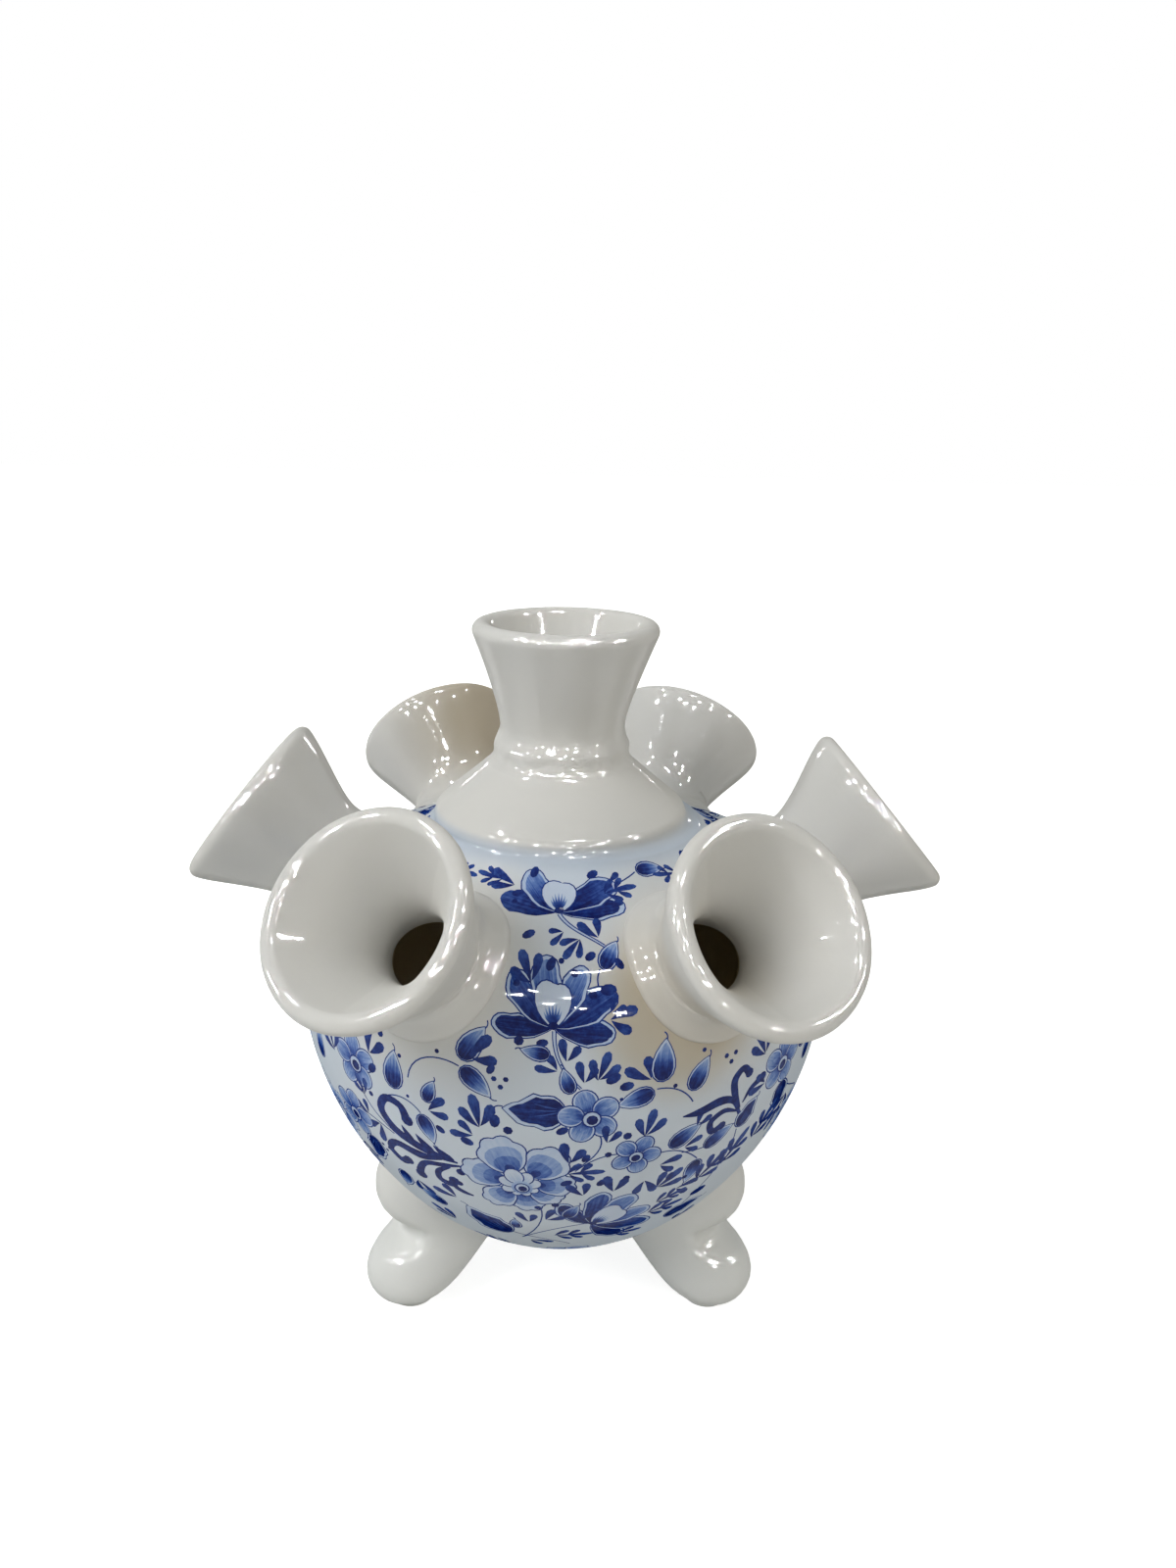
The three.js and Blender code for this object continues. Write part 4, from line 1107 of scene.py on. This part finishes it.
# Upright spout: a trumpet slip-cast alone in white earthenware, with a blunt rounded lip. It is luted to
# the top of the cone, where the wet slip was smoothed by finger into a lumpy ring, and leans a little.
spout_steps = 120
lip_thickness = 3.9
flare_ease = 0.2
centre_neck_radius, centre_neck_height = 13.2, 6.3
centre_mouth_radius, centre_length = 19.4, 28.5
centre_flare, centre_inner_flare = 20.7, 26
ring_radius, ring_height = 14.4, 2.3
spout_bend = tan(radians(1.35))


def trumpet_wall(neck_radius, neck_height, mouth_radius, length, flare_angle, inner_angle):
    """Outer wall from the neck up, round the lip and down the inside to the throat"""
    flare, inner_flare = radians(flare_angle), radians(inner_angle)
    lip = lip_thickness / 2
    lip_centre = np.array([mouth_radius - lip, length - lip])
    outward = np.array([cos(flare), -sin(flare)]) * lip
    reach = (length - neck_height) * flare_ease
    lean = np.array([sin(flare), cos(flare)]) * reach
    outer = bezier([
        (neck_radius, neck_height),
        (neck_radius, neck_height + reach),
        lip_centre + outward - lean,
        lip_centre + outward,
    ], 22)
    inner_start = lip_centre + np.array([-cos(inner_flare), sin(inner_flare)]) * lip
    inner = bezier([
        inner_start,
        inner_start - np.array([sin(inner_flare), cos(inner_flare)]) * 1.4 * reach,
        (throat_radius, neck_height + 1.4 * reach),
        (throat_radius, neck_height),
    ], 22)
    angles = np.radians(np.linspace(-flare_angle, 180 - inner_angle, 15))[1:-1]
    lip_arc = lip_centre + lip * np.stack([np.cos(angles), np.sin(angles)], 1)
    return np.vstack([outer, lip_arc, inner])


def spin_profile(profile):
    """Turns a closed profile of radii and heights in mm round Z"""
    bm = bmesh.new()
    verts = [bm.verts.new((r, 0, z)) for r, z in profile]
    edges = [bm.edges.new(pair) for pair in zip(verts, verts[1:] + verts[:1])]
    bmesh.ops.spin(
        bm, geom=verts + edges, cent=(0, 0, 0), axis=(0, 0, 1),
        angle=2 * pi, steps=spout_steps, use_merge=True,
    )
    bmesh.ops.remove_doubles(bm, verts=bm.verts, dist=1e-4)
    return bm


neck_base = bezier([(16.8, -2.43), (15.4, -1.2), (14.3, -0.5), (ring_radius, ring_height)], 12)
neck_rise = bezier([
    (ring_radius, ring_height),
    (14.1, 3.9),
    (13.25, 4.6),
    (centre_neck_radius, centre_neck_height),
], 8)
centre_wall = trumpet_wall(
    centre_neck_radius, centre_neck_height, centre_mouth_radius, centre_length,
    centre_flare, centre_inner_flare,
)
centre_profile = np.vstack([
    neck_base,
    neck_rise[1:],
    centre_wall[1:],
    [(throat_radius, -0.2), (throat_radius + 1.5, -1.2), (17.8, -3.6)],
])
bm = spin_profile(centre_profile)
for vert in bm.verts:
    # The slip ring, from just under the neck's foot to 7.5 mm up, is lumpier than the rest
    spread = Vector((vert.co.x, vert.co.y, 0)).normalized()
    slip = max(0, min(1, (7.5 - vert.co.z) / 3)) * max(0, min(1, (vert.co.z + 1.2) / 1.5))
    lumps = 0.3 * uneven(vert.co, 3.4) + 0.16 * uneven(vert.co, 1.9)
    vert.co += spread * (lumps * slip + 0.14 * uneven(vert.co, 13))
    vert.co.x += cone_offset + spout_bend * vert.co.z
bmesh.ops.translate(bm, verts=bm.verts, vec=(0, 0, cone_top_height))
bmesh.ops.scale(bm, verts=bm.verts, vec=(0.001, 0.001, 0.001))
finish_piece("upright_spout", bm, "centre_spout")

# Slanted spouts: six shorter, wider trumpets of the same earthenware, each cast alone. They are luted over
# the throat holes at angles that differ a little, and blended into the globe by a fillet of wet slip.
side_neck_height = 2.0
side_neck_top = side_neck_height + 0.8
side_mouth_radius = 20.0
side_length = 23.38
side_flare, side_inner_flare = 14, 32
fillet_height = 5.0
fillet_rings = 9
fillet_swell, fillet_lift = 1.9, 1.0
smoothed = 0.13
# Two stretches of the profile are only marked here, by heights far below it, and laid on the globe later
fillet_mark, throat_mark = -100.0, -200.0
for node, azimuth, lean in slanted_spouts:
    seat, axis, level_side, down = spout_axes(azimuth, lean)
    fillet_profile = [(side_neck_radius, fillet_mark - i) for i in range(fillet_rings + 2)][::-1]
    wall_profile = trumpet_wall(
        side_neck_radius, side_neck_top, side_mouth_radius, side_length, side_flare, side_inner_flare,
    )
    throat_profile = [(throat_radius, throat_mark), (throat_radius + 2, throat_mark - 1)]
    bm = spin_profile(np.vstack([fillet_profile, wall_profile, throat_profile]))
    for vert in bm.verts:
        across = hypot(vert.co.x, vert.co.y)
        spoke = (level_side * vert.co.x + down * vert.co.y) / across
        if vert.co.z > -50:
            vert.co = Vector(seat + spoke * across + axis * vert.co.z)
            vert.co += Vector(spoke) * smoothed * uneven(vert.co, 12)
            continue
        if vert.co.z < -150:
            # The throat ends just under the skin, and its end widens to hide behind the hole's edge
            wider, deeper = (1.2, 0.9) if vert.co.z < throat_mark - 0.5 else (0, 0.2)
            start = seat + spoke * (throat_radius + wider)
            vert.co = Vector(start + axis * (meet_skin(start, axis) - deeper))
            continue
        # The fillet runs down the neck, swells out and thins to a foot that is tucked into the skin
        generator, crossing, out, foot_direction = skirt_foot(seat, axis, spoke)
        foot = globe_points(foot_direction[None])[0]
        foot_normal = globe_normals(foot_direction[None])[0]
        head = min(crossing + fillet_height, side_neck_top)
        pivot = generator + axis * (((foot - generator) @ foot_normal) / (axis @ foot_normal))
        t = (fillet_mark - vert.co.z) / fillet_rings
        if t > 1.0001:
            vert.co = Vector(foot + (foot - pivot) * 0.03 - foot_normal * 0.5)
            continue
        start = generator + axis * head
        bend = pivot + axis * fillet_lift
        swell = foot + foot_normal * fillet_swell - (foot - pivot) * 0.08
        point = (1 - t) ** 3 * start + 3 * (1 - t) ** 2 * t * bend
        point += 3 * (1 - t) * t * t * swell + t ** 3 * foot
        vert.co = Vector(point)
        vert.co += Vector(spoke) * smoothed * (1 - t) * uneven(vert.co, 12)
        vert.co += Vector(out) * 0.25 * sin(pi * t) * uneven(vert.co, 4.5)
    bmesh.ops.scale(bm, verts=bm.verts, vec=(0.001, 0.001, 0.001))
    finish_piece(node.replace("side", "slanted"), bm, node)

# Feet: three scrolls of the same white earthenware, slip-cast solid and luted under the globe.
# Each has a round toe, a crease above it and a swollen knee, and stands on a small flat pad.
toe_reach, toe_radius, toe_half_width = 40.6, 8.2, 9.8
crease_height, leg_half_width = 16.0, 9.2
knee_reach, knee_height, knee_radius, knee_half_width = 35.0, 29.5, 11.0, 11.6
pad_reach, pad_half_length = 38.6, 5.0
inner_slope = radians(41)
heel_reach = 9.0
flank_reach, flank_drop = 48.8, 2.8
root_depth = 2.0
foot_sides = 40


def smooth_step(value, low, high):
    t = min(max((value - low) / (high - low), 0), 1)
    return t * t * (3 - 2 * t)


def foot_half_width(height):
    if height <= toe_radius:
        below = (toe_radius - height) / toe_radius
        return max(pad_half_length, toe_half_width * sqrt(1 - below ** 2))
    leg = toe_half_width + (leg_half_width - toe_half_width) * smooth_step(height, toe_radius, crease_height)
    return leg + (knee_half_width - leg_half_width) * smooth_step(height, crease_height, knee_height)


def arc_points(reach, height, radius, from_angle, to_angle, steps):
    angles = np.radians(np.linspace(from_angle, to_angle, steps + 1))
    return np.stack([reach + radius * np.cos(angles), height + radius * np.sin(angles)], 1)


def crease_share(angle):
    """The crease is deep on the outer ridge and runs out on the flanks"""
    return 1 - 0.7 * smooth_step(degrees(angle), 28, 62)


toe_arc = arc_points(toe_reach, toe_radius, toe_radius, -75, 42, 20)
knee_arc = arc_points(knee_reach, knee_height, knee_radius, -58, 62, 16)
crease = bezier([toe_arc[-1], (43.6, crease_height), (39.0, crease_height - 0.4), knee_arc[0]], 12)
foot_outline = np.vstack([[(pad_reach + pad_half_length, 0)], toe_arc, crease[1:], knee_arc[1:]])
for node, azimuth in (("foot_front_left", 210), ("foot_front_right", 330), ("foot_back", 90)):
    bm = bmesh.new()
    rings = []
    for reach, height in foot_outline:
        inner = max(pad_reach - pad_half_length - height / tan(inner_slope), heel_reach)
        half_width = foot_half_width(height)
        plain = reach
        if toe_radius < height < knee_height:
            straight = flank_reach - flank_drop * (height - toe_radius) / (knee_height - toe_radius)
            plain = max(reach, straight)
        made = bmesh.ops.create_circle(bm, segments=foot_sides, radius=1)["verts"]
        for vert in made:
            outer = plain + (reach - plain) * crease_share(acos(min(max(vert.co.x, -1), 1)))
            x = (outer + inner) / 2 + (outer - inner) / 2 * vert.co.x
            vert.co = Vector((x, half_width * vert.co.y, height))
        rings.append(list({e for v in made for e in v.link_edges}))
    bmesh.ops.contextual_create(bm, geom=rings[0])
    bmesh.ops.contextual_create(bm, geom=rings[-1])
    for low, high in zip(rings[:-1], rings[1:]):
        bmesh.ops.bridge_loops(bm, edges=low + high)
    turned = Matrix.Rotation(radians(azimuth), 3, "Z")
    bmesh.ops.rotate(bm, verts=bm.verts, cent=(0, 0, 0), matrix=turned)
    # The root stops inside the globe's wall
    for vert in bm.verts:
        if above_skin(vert.co) < -root_depth:
            offset = np.array(vert.co) - [0, 0, globe_centre]
            vert.co = Vector(globe_points((offset / np.linalg.norm(offset))[None], root_depth)[0])
    bmesh.ops.scale(bm, verts=bm.verts, vec=(0.001, 0.001, 0.001))
    finish_piece(node.replace("foot", "scroll_foot"), bm, node)
